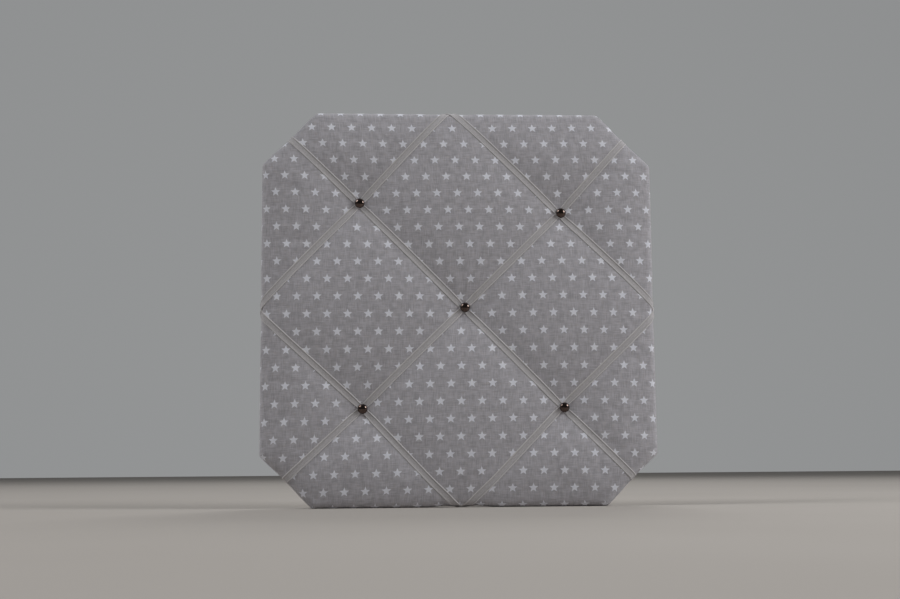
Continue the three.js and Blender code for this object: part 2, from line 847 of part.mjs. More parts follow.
function strapSolid() {
  const plan = new THREE.Shape();
  plan.absarc(0, -strapScrewDrop, strapWidth / 2, Math.PI, 2 * Math.PI, false);
  plan.lineTo(strapWidth / 2, 2 * curlRadius);
  plan.lineTo(-strapWidth / 2, 2 * curlRadius);
  const settings = { depth: 4 * curlRadius, bevelEnabled: false, curveSegments: curlSteps / 2 };
  const column = new THREE.ExtrudeGeometry(plan, settings);
  column.rotateX(Math.PI / 2);
  column.translate(0, 2 * curlRadius, 0);
  const hole = drill(flat(0, -strapScrewDrop), screwHoleRadius, -2 * curlRadius, 2 * curlRadius);
  return solidOf(strapGeometry()).intersect(solidOf(column)).subtract(hole);
}

// Wire bent to a D, hanging from its straight bar, with its butt joint inside the curl
class WireLoop extends THREE.Curve {
  constructor() {
    super();
    const corner = ringSidePlay + ringWireRadius;
    const half = strapWidth / 2 + corner;
    this.path = new THREE.Path();
    this.path.moveTo(ringButtGap / 2, 0);
    this.path.lineTo(half - corner, 0);
    this.path.absarc(half - corner, -corner, corner, Math.PI / 2, 0, true);
    this.path.absellipse(0, -corner, half, ringDrop - corner, 0, -Math.PI, true);
    this.path.absarc(corner - half, -corner, corner, Math.PI, Math.PI / 2, true);
    this.path.lineTo(-ringButtGap / 2, 0);
  }

  getPoint(share, target = new THREE.Vector3()) {
    const point = this.path.getPointAt(share);
    return target.set(point.x, 0, point.y);
  }
}

function ringGeometry() {
  const wire = new THREE.Shape();
  wire.absarc(0, 0, ringWireRadius, 0, 2 * Math.PI, false);
  const settings = { steps: ringSteps, curveSegments: wireSegments, extrudePath: new WireLoop() };
  return geometryFrom(solidOf(new THREE.ExtrudeGeometry(wire, settings)));
}

// Pan-head screw along Y, with its head's seat at Y = 0 and a cross recess
function screwGeometry() {
  const tip = screwSeat - screwTipCover;
  const profile = [
    flat(0, -tip),
    flat(screwShankRadius, screwPoint - tip),
    flat(screwShankRadius, 0),
    flat(screwHeadRadius, 0),
    flat(screwHeadRadius, screwHeadEdge),
    flat(screwHeadRadius - screwHeadFlat, screwHeadHeight),
    flat(0, screwHeadHeight),
  ];
  const recess = (angle) => {
    const slot = new THREE.BoxGeometry(screwSlotLength, 2 * screwSlotDepth, screwSlotWidth);
    slot.rotateY(angle);
    slot.translate(0, screwHeadHeight, 0);
    return solidOf(slot);
  };
  const body = solidOf(new THREE.LatheGeometry(profile, headSides));
  return geometryFrom(body.subtract(recess(0)).subtract(recess(Math.PI / 2)));
}

for (const { side, x } of hangers) {
  const strap = addPiece(`hanger_strap_${side}`, geometryFrom(strapSolid()), finishes.steel);
  strap.position.set(x, barY, barHeight);
  const ring = addPiece(`hanger_ring_${side}`, ringGeometry(), finishes.steel);
  ring.position.set(x, barY, barHeight);
  const screw = addPiece(`hanger_screw_${side}`, screwGeometry(), finishes.steel);
  screw.position.set(x, screwSeat, screwZ);
}

function addStaples(name, staples) {
  staples.forEach(({ point, angle, seat }, index) => {
    const number = String(index + 1).padStart(2, '0');
    const staple = addPiece(`${name}_${number}`, stapleGeometry(seat - stapleTipCover), finishes.steel);
    staple.position.set(point.x, seat, point.y);
    staple.rotation.y = -angle;
  });
}

addStaples('hem_staple', hemStaples);
addStaples('ribbon_staple', tailStaples);

// The origin is under the middle of the board's depth, on the surface that it stands on
const box = new THREE.Box3().setFromObject(memoBoard);
memoBoard.position.set(0, -(box.min.y + box.max.y) / 2, halfSpan);

export default memoBoard;
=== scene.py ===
# %% [markdown]
# # A padded memo board with crossed ribbons
#
# The object is a fibreboard panel with cut-off corners, padded with wadding and covered
# in cotton with a print of small white stars. Six ribbons cross the front and five
# dome-headed tacks hold them down, so the padding swells into cushions between them. The
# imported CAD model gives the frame, and numpy works out each soft or rounded piece.

# %% The frame that everything is built on
import math

import bpy
import numpy as np
from mathutils import Matrix, Vector


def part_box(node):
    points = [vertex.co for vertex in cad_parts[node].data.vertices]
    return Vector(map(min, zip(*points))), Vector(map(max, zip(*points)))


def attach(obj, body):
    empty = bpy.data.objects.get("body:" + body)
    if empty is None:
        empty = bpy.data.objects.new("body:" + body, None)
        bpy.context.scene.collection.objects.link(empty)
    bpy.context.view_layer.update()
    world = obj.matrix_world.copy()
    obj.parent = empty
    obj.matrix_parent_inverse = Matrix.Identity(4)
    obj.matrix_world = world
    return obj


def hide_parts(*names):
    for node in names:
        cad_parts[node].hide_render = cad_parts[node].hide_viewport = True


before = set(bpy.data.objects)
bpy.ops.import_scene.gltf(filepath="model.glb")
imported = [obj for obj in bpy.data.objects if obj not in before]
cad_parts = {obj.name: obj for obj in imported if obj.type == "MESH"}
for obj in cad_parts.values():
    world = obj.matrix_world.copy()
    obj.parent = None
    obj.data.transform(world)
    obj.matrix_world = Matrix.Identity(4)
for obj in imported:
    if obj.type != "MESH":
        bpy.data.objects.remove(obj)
scene = bpy.context.scene
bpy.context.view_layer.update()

# %% [markdown]
# ## Setting out
#
# The outline has eight edges: four sides and four cut-off corners. Each has a normal, a
# direction along it and a reach from the centre, so arrays of eight rows describe it all.
# The top is padded more fully than drawn, so its edge rises a little. Sums are done in
# millimetres about the board's centre, in the plane of the front, and only a finished
# mesh is turned into metres. Places such as the tacks are read from the CAD.

# %% Edges and tacks
SPAN, TOP_RISE = 200.0, 2.7
BOARD_CHAMFER, EDGE_PADDING = 49.0, 5.0
CHAMFER = BOARD_CHAMFER + EDGE_PADDING * (2 - math.sqrt(2))
QUARTERS = ["upper_right", "upper_left", "lower_left", "lower_right"]


def pairs(first, second):
    """Two arrays joined into pairs."""
    return np.stack(np.broadcast_arrays(first, second), axis=-1)


turn = np.arange(8) * math.pi / 4
NORMAL, ALONG = pairs(np.cos(turn), np.sin(turn)), pairs(-np.sin(turn), np.cos(turn))
IS_SIDE = np.arange(8) % 2 == 0
REACH = np.where(IS_SIDE, SPAN, (2 * SPAN - CHAMFER) / math.sqrt(2))
REACH[2] += TOP_RISE
LENGTH_AFTER = math.sqrt(2) * np.roll(REACH, -1) - REACH
LENGTH_BEFORE = math.sqrt(2) * np.roll(REACH, 1) - REACH

board_low, board_high = (np.array(corner) * 1000 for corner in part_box("backing_board"))
ORIGIN = np.array([0, board_low[1], (board_low[2] + board_high[2]) / 2])


def tack_place(name):
    """Middle of a tack's box, in the plane of the front."""
    low, high = (np.array(corner) * 1000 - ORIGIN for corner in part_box(f"tack_{name}"))
    return ((low + high) / 2)[[0, 2]]


CENTRE = tack_place("centre")
TACKS = np.array([tack_place(quarter) for quarter in QUARTERS])
EVERY_TACK = np.array([CENTRE, *TACKS])
print("tacks at", EVERY_TACK.round(1).tolist())

# %% [markdown]
# ## Where the ribbons run
#
# Each tack is driven in by eye, a little to the right of its crossing, and the short
# ribbon there lies slightly nearer to the centre than the long one. From a crossing one
# ribbon runs to the middle of the side on either hand and another to the cut-off corner
# behind it. A ribbon keeps its straight line over the edge, as it would on cloth laid
# flat, so its end is found on the flat cloth, at the widest line of the edge. The padding
# already slopes where it reaches the rim, so the rounding starts at that angle.

# %% Ribbon lines on the flat cloth
MIDDLE = np.array([-2.6, 0.7, 8.3, -2, 1.9, -2.1, 1.0, 2.2])
PAIR_SPACING = np.array([2.0, 0, -1.2, 0, 2.8, 0, 2.9, 0])
TACK_SLIP, MID_SLIP, SHORT_SLIP = np.array([1.4, 0]), np.array([1.4, 0.5]), 0.8
CROSSINGS, MID_CROSSING = TACKS - TACK_SLIP, CENTRE - MID_SLIP
SHORT_CROSSINGS = CROSSINGS - SHORT_SLIP * np.sign(CROSSINGS)
ROUNDING, RIM, ROLL_ANGLE = 6.0, 8.0, math.radians(17)
BEND = ROUNDING / (1 - math.sin(ROLL_ANGLE))
BEND_Y = BEND * math.cos(ROLL_ANGLE) - RIM
ARC = BEND * (math.pi / 2 - ROLL_ANGLE)


def on_plan(edge, outwards, along):
    """Plan point a distance outwards from the centre and a distance along an edge."""
    outwards, along = np.asarray(outwards)[..., None], np.asarray(along)[..., None]
    return NORMAL[edge] * outwards + ALONG[edge] * along


def ribbon_end(crossing, edge, offset_at_widest):
    """Edge, offset and slope of a straight line from a crossing, at the rounding's start."""
    run = REACH[edge] - ROUNDING - crossing @ NORMAL[edge]
    start = crossing @ ALONG[edge]
    offset = (offset_at_widest + ARC * start / run) / (1 + ARC / run)
    return edge, offset, (offset - start) / run


def flat_point(end, run):
    """Point of the flat cloth a run past the start of the rounding."""
    edge, offset, slope = end
    return on_plan(edge, REACH[edge] - ROUNDING + run, offset + slope * run)


branches = []
for index in range(4):
    short, long = SHORT_CROSSINGS[index], CROSSINGS[index]
    side_a, corner, side_b = 2 * index, 2 * index + 1, (2 * index + 2) % 8
    branches.append([
        ribbon_end(short, side_a, MIDDLE[side_a] + PAIR_SPACING[side_a] / 2),
        ribbon_end(long, corner, MIDDLE[corner]),
        ribbon_end(short, side_b, MIDDLE[side_b] - PAIR_SPACING[side_b] / 2),
    ])

seams = [(MID_CROSSING, crossing) for crossing in CROSSINGS]
for crossing, branch in zip(CROSSINGS, branches):
    seams += [(crossing, flat_point(end, 0)) for end in branch]
print(len(seams), "seams press into the padding")

# %% [markdown]
# ## Putting a surface into a mesh
#
# Blender's own shapes and modifiers could make some of the pieces, but only points that
# are worked out can all follow one formula. So every new piece is a grid, with rows along
# one parameter and columns along the other. Small helpers list the corners of its cells,
# and another writes the mesh in metres. If the volume that the faces enclose comes out
# negative, the surface is inside out and every face is turned round.

# %% Faces of a grid


def grid_faces(rows, columns, closed=False, start=0):
    """Corners of each cell of a grid, joined into a ring if closed."""
    row = np.arange(rows - 1)[:, None] * columns
    column = np.arange(columns if closed else columns - 1)
    after = (column + 1) % columns
    cell = [row + column, row + after, row + columns + after, row + columns + column]
    return (np.stack(cell, axis=-1).reshape(-1, 4) + start).tolist()


def domed_faces(rows, count, both=True):
    """Cells of closed rows that begin in a single point and, if both, end in another."""
    around = np.arange(count) + 1
    after = np.roll(around, -1)
    faces = grid_faces(rows, count, closed=True, start=1)
    faces += np.stack([around * 0, after, around], axis=1).tolist()
    if both:
        final, last = (rows - 1) * count, np.full(count, rows * count + 1)
        faces += np.stack([last, around + final, after + final], axis=1).tolist()
    return faces


def tube_faces(rows, count):
    """Cells of a closed section carried along rows, and a cap at both ends."""
    final = (rows - 1) * count
    caps = [list(range(count))[::-1], list(range(final, final + count))]
    return grid_faces(rows, count, closed=True) + caps


def in_space(plan, depth):
    """Points of the plan, put at a depth behind the board's face."""
    depth = np.broadcast_to(depth, plan.shape[:-1])
    return np.stack([plan[..., 0], depth, plan[..., 1]], axis=-1)


print("a grid of 3 by 4 points has", len(grid_faces(3, 4)), "cells")

# %% Meshes


def enclosed(points, faces, about):
    """Volume within the faces: the sum over their triangles of a . (b x c) / 6."""
    triangles = [(face[0], *pair) for face in faces for pair in zip(face[1:], face[2:])]
    a, b, c = np.moveaxis(points[np.array(triangles)] - about, 1, 0)
    return (a * np.cross(b, c)).sum() / 6


def add_object(name, data):
    """New object, linked to the scene."""
    made = bpy.data.objects.new(name, data)
    scene.collection.objects.link(made)
    return made


def make_piece(name, points, faces, uv=None, about=None):
    """Mesh object in metres from points in millimetres about the board's centre."""
    about = points.mean(axis=0) if about is None else np.array(about)
    if enclosed(points, faces, about) < 0:
        faces = [face[::-1] for face in faces]
    mesh = bpy.data.meshes.new(name)
    mesh.from_pydata(((points + ORIGIN) / 1000).tolist(), [], faces)
    mesh.shade_smooth()
    if uv is not None:
        corner_vertex = np.empty(len(mesh.loops), dtype=np.int32)
        mesh.loops.foreach_get("vertex_index", corner_vertex)
        layer = mesh.uv_layers.new(name="cut")
        layer.data.foreach_set("uv", uv[corner_vertex].astype(np.float32).ravel())
    mesh.update()
    return add_object(name, mesh)


def settle(piece, material, body, slot, *nodes):
    """Gives a piece its material and its body, and hides the CAD nodes it stands for; slot is not
    used.
    """
    piece.data.materials.append(material)
    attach(piece, body)
    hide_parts(*nodes)
    print(piece.name, len(piece.data.polygons), "faces, rides on", body)


# %% [markdown]
# ## The height of the padding
#
# Loose wadding swells between the ribbons and is pressed flat under the tacks. The wadding,
# the cotton and the ribbons must stay in step, so all of them ask one function how high
# they lie. Its first part is a formula for the pressed shape, which blends three things: a
# rise away from each seam, a dip around each tack, and a roll down to the rim.

# %% Dents and seams
DENT_DEPTH = np.array([0.5, 0.7, 0.5, 0.7, 0.5, 0.7, 1.7, 0.7])
DENT_FLAT, DENT_RAMP = np.where(IS_SIDE, 12.0, 5.0), np.where(IS_SIDE, 26.0, 20.0)


def smooth(low, high, value):
    """Smooth step from 0 at low to 1 at high."""
    share = np.clip((value - low) / (high - low), 0, 1)
    return share * share * (3 - 2 * share)


def dent(edge, offset):
    """Depth that tight ribbons press into an edge, fading to both sides of its middle."""
    past = (np.abs(offset - MIDDLE[edge]) - DENT_FLAT[edge]) / DENT_RAMP[edge]
    return DENT_DEPTH[edge] * (1 - smooth(0, 1, past))


def away_from(seam, point):
    """Distance to a seam, which is a straight line between two points."""
    start, end = seam
    run = end - start
    share = np.clip(((point - start) @ run) / (run @ run), 0, 1)
    return np.linalg.norm(point - start - share[..., None] * run, axis=-1)


print("dents of", dent(np.arange(8), MIDDLE), "mm")

# %% Pressed height over the board's face
CROWN, CREST, SEAT = 12.4, 11.2, 6.5
PUFF_WIDTH, DIMPLE_REACH, ROLL_WIDTH = 62.0, 27.0, 40.0
SWELL_POWER, DIMPLE_POWER, ROLL_POWER = 2.2, 1.15, 3
TACK_SEAT, VALLEY_BEND, EDGE_BLEND = 4.6, 1.6, 4.0


def pressed_height(point):
    """Height = rim + roll (seam height + (crown - seam height) puff - rim).
    puff is the product over the seams of 1 - (1 - climb / width) ** power, where climb is the
    distance from the seam, rounded near it so that the valley is a soft V.
    roll is 1 - (1 - inside / width) ** power, where inside is a smooth minimum of the
    distances to the eight edges, -b log(sum of exp(-distance / b))."""
    puff = np.ones(point.shape[:-1])
    for seam in seams:
        away = away_from(seam, point)
        near = away**2 / (2 * VALLEY_BEND)
        climb = np.where(away < VALLEY_BEND, near, away - VALLEY_BEND / 2)
        puff *= 1 - (1 - np.minimum(climb / PUFF_WIDTH, 1)) ** SWELL_POWER
    dimple = np.zeros(point.shape[:-1])
    for tack in EVERY_TACK:
        away = np.maximum(0, np.linalg.norm(point - tack, axis=-1) - TACK_SEAT)
        dimple += np.exp(-((away / DIMPLE_REACH) ** DIMPLE_POWER))
    dents = dent(np.arange(8), point @ ALONG.T)
    inside = np.clip(REACH - ROUNDING - dents - point @ NORMAL.T, -50, 200)
    inside = -EDGE_BLEND * np.log(np.exp(-inside / EDGE_BLEND).sum(axis=-1))
    roll = 1 - (1 - np.clip(inside / ROLL_WIDTH, 0, 1)) ** ROLL_POWER
    seam_height = CREST - (CREST - SEAT) * np.minimum(dimple, 1)
    return RIM + (seam_height + (CROWN - seam_height) * puff - RIM) * roll


print("pressed height at the centre tack:", pressed_height(CENTRE[None]).round(2))

# %% [markdown]
# ## Letting the cotton swell
#
# Real padding pushes the cotton out until the cloth is taut, which no formula gives quite
# right. So a sheet in the pressed shape goes through Blender's cloth simulation: it is held
# along the ribbons, at the tacks and round the rim, a steady pressure pushes from behind,
# and gravity is off. What each point gained after twenty frames is capped, kept in a grid,
# and read by smooth cubic weights. The sheet itself is then thrown away.

# %% Cloth under pressure
GRID, GRID_HALF = 4.0, 50
PRESSURE, SLACK, FRAMES = 4.0, 0.004, 20
LEAST_GAIN, MOST_GAIN = -0.5, 4.0
HELD_SEAM, HELD_TACK, HELD_RIM = 3.6, 7.0, 6.0


def simulate_swelling():
    """Gain in height on a square grid after some frames under pressure."""
    line = np.arange(-GRID_HALF, GRID_HALF + 1) * GRID
    plan = pairs(line[:, None], line).reshape(-1, 2)
    start = in_space(plan, -pressed_height(plan))
    near_seam = np.min([away_from(seam, plan) for seam in seams], axis=0)
    near_tack = np.linalg.norm(plan[:, None, :] - EVERY_TACK, axis=-1).min(axis=1)
    inside = (REACH - ROUNDING - plan @ NORMAL.T).min(axis=1)
    held = (near_seam < HELD_SEAM) | (near_tack < HELD_TACK) | (inside < HELD_RIM)
    mesh = bpy.data.meshes.new("sheet")
    outwards = [face[::-1] for face in grid_faces(len(line), len(line))]
    mesh.from_pydata((start / 1000).tolist(), [], outwards)
    sheet = add_object("sheet", mesh)
    sheet.vertex_groups.new(name="held").add(np.flatnonzero(held).tolist(), 1.0, "REPLACE")
    cloth = sheet.modifiers.new("swell", "CLOTH").settings
    cloth.vertex_group_mass = "held"
    cloth.use_pressure = True
    cloth.uniform_pressure_force = PRESSURE
    cloth.shrink_min = -SLACK
    cloth.effector_weights.gravity = 0
    for number in range(1, FRAMES + 1):
        scene.frame_set(number)
    swollen = sheet.evaluated_get(bpy.context.evaluated_depsgraph_get()).data
    end = np.empty(len(start) * 3)
    swollen.vertices.foreach_get("co", end)
    gain = -(end.reshape(-1, 3) * 1000 - start)[:, 1]
    bpy.data.objects.remove(sheet)
    bpy.data.meshes.remove(mesh)
    scene.frame_set(1)
    return np.clip(gain, LEAST_GAIN, MOST_GAIN).reshape(len(line), len(line))


swelling = simulate_swelling()
print("the padding swells by up to", swelling.max().round(2), "mm")

# %% Height with the swelling


def swelled(point):
    """Swelling at a point: sixteen grid values about it by cubic B-spline weights."""
    place = np.clip(point / GRID + GRID_HALF, 1, 2 * GRID_HALF - 1.001)
    cell = np.floor(place).astype(int)
    t = place - cell
    weight = np.stack([(1 - t) ** 3, 3 * t**3 - 6 * t**2 + 4, 1 + 3 * (t + t**2 - t**3), t**3]) / 6
    total = np.zeros(point.shape[:-1])
    for i, j in np.ndindex(4, 4):
        share = weight[i, ..., 0] * weight[j, ..., 1]
        total += share * swelling[cell[..., 0] + i - 1, cell[..., 1] + j - 1]
    return total


def pad_height(point):
    """Pressed height plus the simulated swelling."""
    return pressed_height(point) + swelled(point)


def pad_slopes(point, step=0.4):
    """Slopes of the padding to the right and upwards, by central differences."""
    steps = np.eye(2) * step
    return [(pad_height(point + by) - pad_height(point - by)) / (2 * step) for by in steps]


def raised(plan, lift):
    """Points a lift above the padding, along its normal."""
    slope_x, slope_z = pad_slopes(plan)
    rise = lift / np.sqrt(1 + slope_x**2 + slope_z**2)
    shifted = plan - rise[..., None] * pairs(slope_x, slope_z)
    return in_space(shifted, -pad_height(plan) - rise)


probe = pad_height(np.array([CENTRE, [0, 60], [60, 0], [150, 0]]))
print("padding height at the centre and on three cushions:", probe.round(2))

# %% [markdown]
# ## From flat cloth to the folded one
#
# Cloth and ribbons go round the same edge: a rounded front, a wall and a fold on to the
# back. `lay` takes a point of the flat cloth, says how far it has run past the rim of
# its edge, and puts it on the front, on the rounding, on the wall or on the back. With a
# lift it gives the place of a layer that lies above the cloth. The dent under a ribbon
# grows towards the rim and fades again on the back.

# %% Folding over an edge
FOLD, BACK_FACE = 1.0, 12.9
WALL_END = ARC + BACK_FACE - FOLD - BEND_Y
FOLD_END = WALL_END + FOLD * math.pi / 2
DENT_GROWS, DENT_FADES = 40.0, 12.0


def fold(run, lift):
    """Inset from the outline and depth after a run: part of a quarter circle, a wall, a small
    quarter circle and the back."""
    front = np.clip(ROLL_ANGLE + run / BEND, 0, math.pi / 2)
    back = np.clip((run - WALL_END) / FOLD, 0, math.pi / 2)
    bend, small = BEND + lift, FOLD + lift
    over = [BEND - bend * np.sin(front), BEND_Y - bend * np.cos(front)]
    inwards = np.maximum(run - FOLD_END, 0)
    wall_y = BEND_Y + np.clip(run - ARC, 0, WALL_END - ARC)
    behind = [FOLD - small * np.cos(back) + inwards, wall_y + small * np.sin(back)]
    return np.where(run < ARC, over, behind)


def dent_left(run):
    """Share of a dent that is left after a run past the rim."""
    return 1 - smooth(FOLD_END, FOLD_END + DENT_FADES, run)


def lay(flat, edge, lift):
    """Place of a point of the flat cloth near an edge, a lift above the cloth."""
    normal = NORMAL[edge]
    offset = (flat * ALONG[edge]).sum(axis=-1)
    run = (flat * normal).sum(axis=-1) - (REACH[edge] - ROUNDING)
    pressed = dent(edge, offset)
    front = raised(flat - normal * (pressed * smooth(-DENT_GROWS, 0, run))[..., None], lift)
    inset, depth = fold(run, lift)
    outwards = REACH[edge] - inset - pressed * dent_left(run)
    folded = in_space(on_plan(edge, outwards, offset), depth)
    return np.where(run[..., None] < 0, front, folded)


print("cloth runs", round(FOLD_END, 1), "mm from the rim to the back")

# %% [markdown]
# ## The camera
#
# The camera was found from the eight corners of the board in the picture: it stands low,
# a little to the left, and looks slightly up at the front. Its three axes are the columns
# of its matrix, and 52 mm on a 36 mm sensor is 1300 pixels on a picture 900 pixels wide.
# Colours are shown as they are measured, without a film curve.

# %% Camera
camera_data = bpy.data.cameras.new("view")
camera_data.sensor_width = 36.0
camera_data.lens = 52.0
camera = add_object("view", camera_data)

forward = Vector((0.05622, 0.98995, 0.12974)).normalized()
right = forward.cross(Vector((0.00082, -0.12999, 0.99151))).normalized()
axes = Matrix((right, right.cross(forward), -forward)).transposed()
camera.matrix_world = Matrix.Translation((-0.08322, -1.3124, 0.0373)) @ axes.to_4x4()
scene.camera = camera
scene.view_settings.view_transform = "Standard"
print("camera looks along", tuple(round(value, 3) for value in forward))

# %% [markdown]
# ## Writing a material as a sum
#
# A shader is a graph, but its maths reads better as a Python expression. `Value` wraps
# the socket that a node gives out, so that `1 - mask * 0.3` adds the Math nodes by
# itself. `Finish` owns one material or world and adds every kind of node to it.

# %% Values that flow between nodes


class Value:
    """What flows out of a node, with Python's own arithmetic on it."""

    def __init__(self, finish, socket):
        self.finish, self.socket = finish, socket

    def math(self, operation, other=0.0):
        return self.finish.node("Math", {0: self, 1: other}, operation=operation)

    def __add__(self, other):
        return self.math("ADD", other)

    __radd__ = __add__

    def __sub__(self, other):
        return self.math("SUBTRACT", other)

    def __rsub__(self, other):
        return self.finish.node("Math", {0: other, 1: self}, operation="SUBTRACT")

    def __mul__(self, other):
        return self.math("MULTIPLY", other)

    def __abs__(self):
        return self.math("ABSOLUTE")

    def split(self):
        return [self.finish.node("SeparateXYZ", {0: self}, out) for out in range(3)]

    def noise(self, scale, detail=2.0):
        sockets = {"Vector": self, "Scale": scale, "Detail": detail}
        return self.finish.node("TexNoise", sockets)

    def step(self, low, high):
        """Smooth step from 0 at low to 1 at high."""
        sockets = {"Value": self, "From Min": low, "From Max": high}
        return self.finish.node("MapRange", sockets, interpolation_type="SMOOTHSTEP")

    def mix(self, first, second):
        """Colour between two colours."""
        return self.finish.node("Mix", {0: self, 6: first, 7: second}, 2, data_type="RGBA")


print("values ready")

# %% Finishes that own the nodes


class Finish:
    """A material or a world, its shader and the nodes that feed it."""

    def __init__(self, name, constants, family=bpy.data.materials, shader="Principled BSDF"):
        self.made = family.new(name)
        self.made.use_nodes = True
        self.tree = self.made.node_tree
        self.shader = self.tree.nodes[shader]
        for socket, value in constants.items():
            self.shader.inputs[socket].default_value = value

    def node(self, kind, sockets=None, out=0, **settings):
        """Adds a node, sets how it works, then fills or links its sockets. A tuple is a colour."""
        made = self.tree.nodes.new("ShaderNode" + kind)
        for key, value in settings.items():
            setattr(made, key, value)
        for key, value in (sockets or {}).items():
            if isinstance(value, Value):
                self.tree.links.new(value.socket, made.inputs[key])
            else:
                value = (*value, 1.0) if isinstance(value, tuple) else value
                made.inputs[key].default_value = value
        return Value(self, made.outputs[out])

    def feed(self, socket, value):
        self.tree.links.new(value.socket, self.shader.inputs[socket])

    def join(self, x, y, z=0.0):
        return self.node("CombineXYZ", {0: x, 1: y, 2: z})

    def bump(self, height, strength, distance):
        sockets = {"Height": height, "Strength": strength, "Distance": distance}
        self.feed("Normal", self.node("Bump", sockets))

    def done(self):
        print(self.made.name, "uses", len(self.tree.nodes), "nodes")
        return self.made


print("finishes ready")

# %% [markdown]
# ## The printed cotton
#
# The cloth is a warm grey, slightly slubby cotton with a white print. The stars stand
# upright in rows, each row half a pitch out of step with the next. An image could carry
# them, but a formula stays sharp at any distance. The mesh carries the flat cloth as a UV
# map counted in star pitches, so a fraction finds the place within a cell. Folding the
# angle about the star's middle leaves a single half-arm, and the distance to its one
# straight edge is the star. Threads, slubs and slow blotches then vary the ground.

# %% Cotton with a star print
STAR_PITCH, ROW_PITCH = 20.67, 17.64
STAR_TIP, STAR_NOTCH, STAR_BLUR = 4.9, 2.2, 0.18
THREAD = 0.55


def star_distance(across, up):
    """Signed distance in millimetres to a five-pointed star with one tip upwards."""
    fifth = math.pi / 5
    angle = across.math("ARCTAN2", up).math("PINGPONG", fifth)
    radius = (across * across + up * up).math("SQRT")
    edge = np.array([STAR_TIP - STAR_NOTCH * math.cos(fifth), STAR_NOTCH * math.sin(fifth)])
    edge /= np.linalg.norm(edge)
    beside, beyond = radius * angle.math("SINE"), radius * angle.math("COSINE") - STAR_TIP
    return beside * edge[0] + beyond * edge[1]


def printed_cotton():
    constants = {"Roughness": 0.93, "Specular IOR Level": 0.25, "Sheen Weight": 0.06}
    finish = Finish("printed_cotton", constants)
    column, row, _ = finish.node("UVMap", uv_map="cut").split()
    odd = (row + 0.5).math("FLOOR").math("FLOORED_MODULO", 2.0)
    across = ((column + odd * 0.5 + 0.5).math("FRACT") - 0.5) * STAR_PITCH
    up = ((row + 0.5).math("FRACT") - 0.5) * ROW_PITCH
    cloth_u, cloth_v = column * STAR_PITCH, row * ROW_PITCH
    cloth = finish.join(cloth_u, cloth_v)
    ragged = (cloth.noise(1.6, 3.0) - 0.5) * 0.7
    star = 1 - (star_distance(across, up) + ragged).step(-STAR_BLUR, STAR_BLUR)

    warp, weft = (abs((way * (math.pi / THREAD)).math("SINE")) for way in (cloth_u, cloth_v))
    lengthwise = finish.join(cloth_u * 1.5, cloth_v * 0.09).noise(1.0, 3.0)
    crosswise = finish.join(cloth_u * 0.09, cloth_v * 1.5).noise(1.0, 3.0)
    blotch = cloth.noise(0.16, 3.0)
    slub = lengthwise * 0.5 + crosswise * 0.5
    shade = (slub * 0.75 + blotch * 0.25).step(0.38, 0.62)
    ground = shade.mix((0.368, 0.359, 0.389), (0.565, 0.555, 0.597))
    warmth = cloth.noise(0.33).step(0.5, 0.72)
    ground = (warmth * 0.3).mix(ground, (0.5, 0.462, 0.445))
    ink = shade.mix((0.82, 0.838, 0.93), (0.9, 0.915, 0.985))
    finish.feed("Base Color", (star * 0.94).mix(ground, ink))
    finish.bump(warp * weft * 0.6 + slub * 0.8 + star * 0.12, 0.35, 0.0002)
    return finish.done()


cotton_finish = printed_cotton()

# %% [markdown]
# ## Ribbon, metals, board and wadding
#
# The ribbon is a matt grey tape with fine ribs across it and a raised edge on both sides,
# so its UV map counts millimetres along and across. Its edges are coloured paler, partly as
# paler thread and partly as a painted highlight on the raised edges, and a painted shade
# darkens a groove just inside each edge. The tacks are dark bronzed metal, polished, with a
# little wear. The bare fibreboard on the back shows pressed fibres and flecks. All but the
# ribbon read Object coordinates, because nothing on them follows a surface.

# %% Ribbon
RIB = 0.8


def ribbon_tape():
    constants = {"Roughness": 0.82, "Specular IOR Level": 0.3, "Sheen Weight": 0.08}
    finish = Finish("ribbon_tape", constants)
    lengthwise, across, _ = finish.node("UVMap", uv_map="cut").split()
    rib = abs((lengthwise * (math.pi / RIB)).math("SINE"))
    edge = abs(across).step(2.5, 2.8)
    painted_shade_groove = abs(across).step(1.3, 2.1) - edge
    fibre = finish.join(lengthwise * 0.35, across * 2.2).noise(1.0, 3.0)
    body = fibre.step(0.35, 0.65).mix((0.459, 0.446, 0.462), (0.578, 0.564, 0.583))
    # Painted shade: the groove just inside each edge is darkened in colour, as shade would fall in
    # it.
    body = (painted_shade_groove * 0.3).mix(body, (0.31, 0.295, 0.297))
    # The paler edge colour is partly paler thread and partly a painted highlight along the raised
    # edges.
    finish.feed("Base Color", (edge * 0.65).mix(body, (0.7, 0.684, 0.69)))
    finish.bump(rib * (1 - edge) * 0.5 + fibre * 0.4 - painted_shade_groove * 0.5, 0.5, 0.0002)
    return finish.done()


ribbon_finish = ribbon_tape()

# %% Metals


def object_place(finish, scale=1000.0):
    """Object coordinates in millimetres."""
    place = finish.node("TexCoord", out=3)
    return finish.node("VectorMath", {0: place, 3: scale}, operation="SCALE")


def bronzed_tack():
    finish = Finish("bronzed_tack", {"Metallic": 1.0, "Coat Weight": 0.4, "Coat Roughness": 0.05})
    place = object_place(finish)
    patina = place.noise(0.5, 4.0)
    bronze = patina.step(0.52, 0.7).mix((0.09, 0.062, 0.052), (0.145, 0.105, 0.088))
    finish.feed("Base Color", bronze)
    finish.feed("Roughness", 0.07 + patina * 0.1)
    finish.bump(place.noise(1.1), 0.06, 0.0004)
    return finish.done()


def plated_steel(name, dark, light, grain, roughness):
    finish = Finish(name, {"Metallic": 1.0})
    place = object_place(finish)
    x, y, z = place.split()
    brushed = finish.join(x * grain[0], y * grain[1], z * grain[2]).noise(1.0, 3.0)
    finish.feed("Base Color", place.noise(0.35, 3.0).step(0.35, 0.7).mix(dark, light))
    finish.feed("Roughness", roughness + brushed * 0.18)
    finish.bump(brushed, 0.08, 0.0002)
    return finish.done()


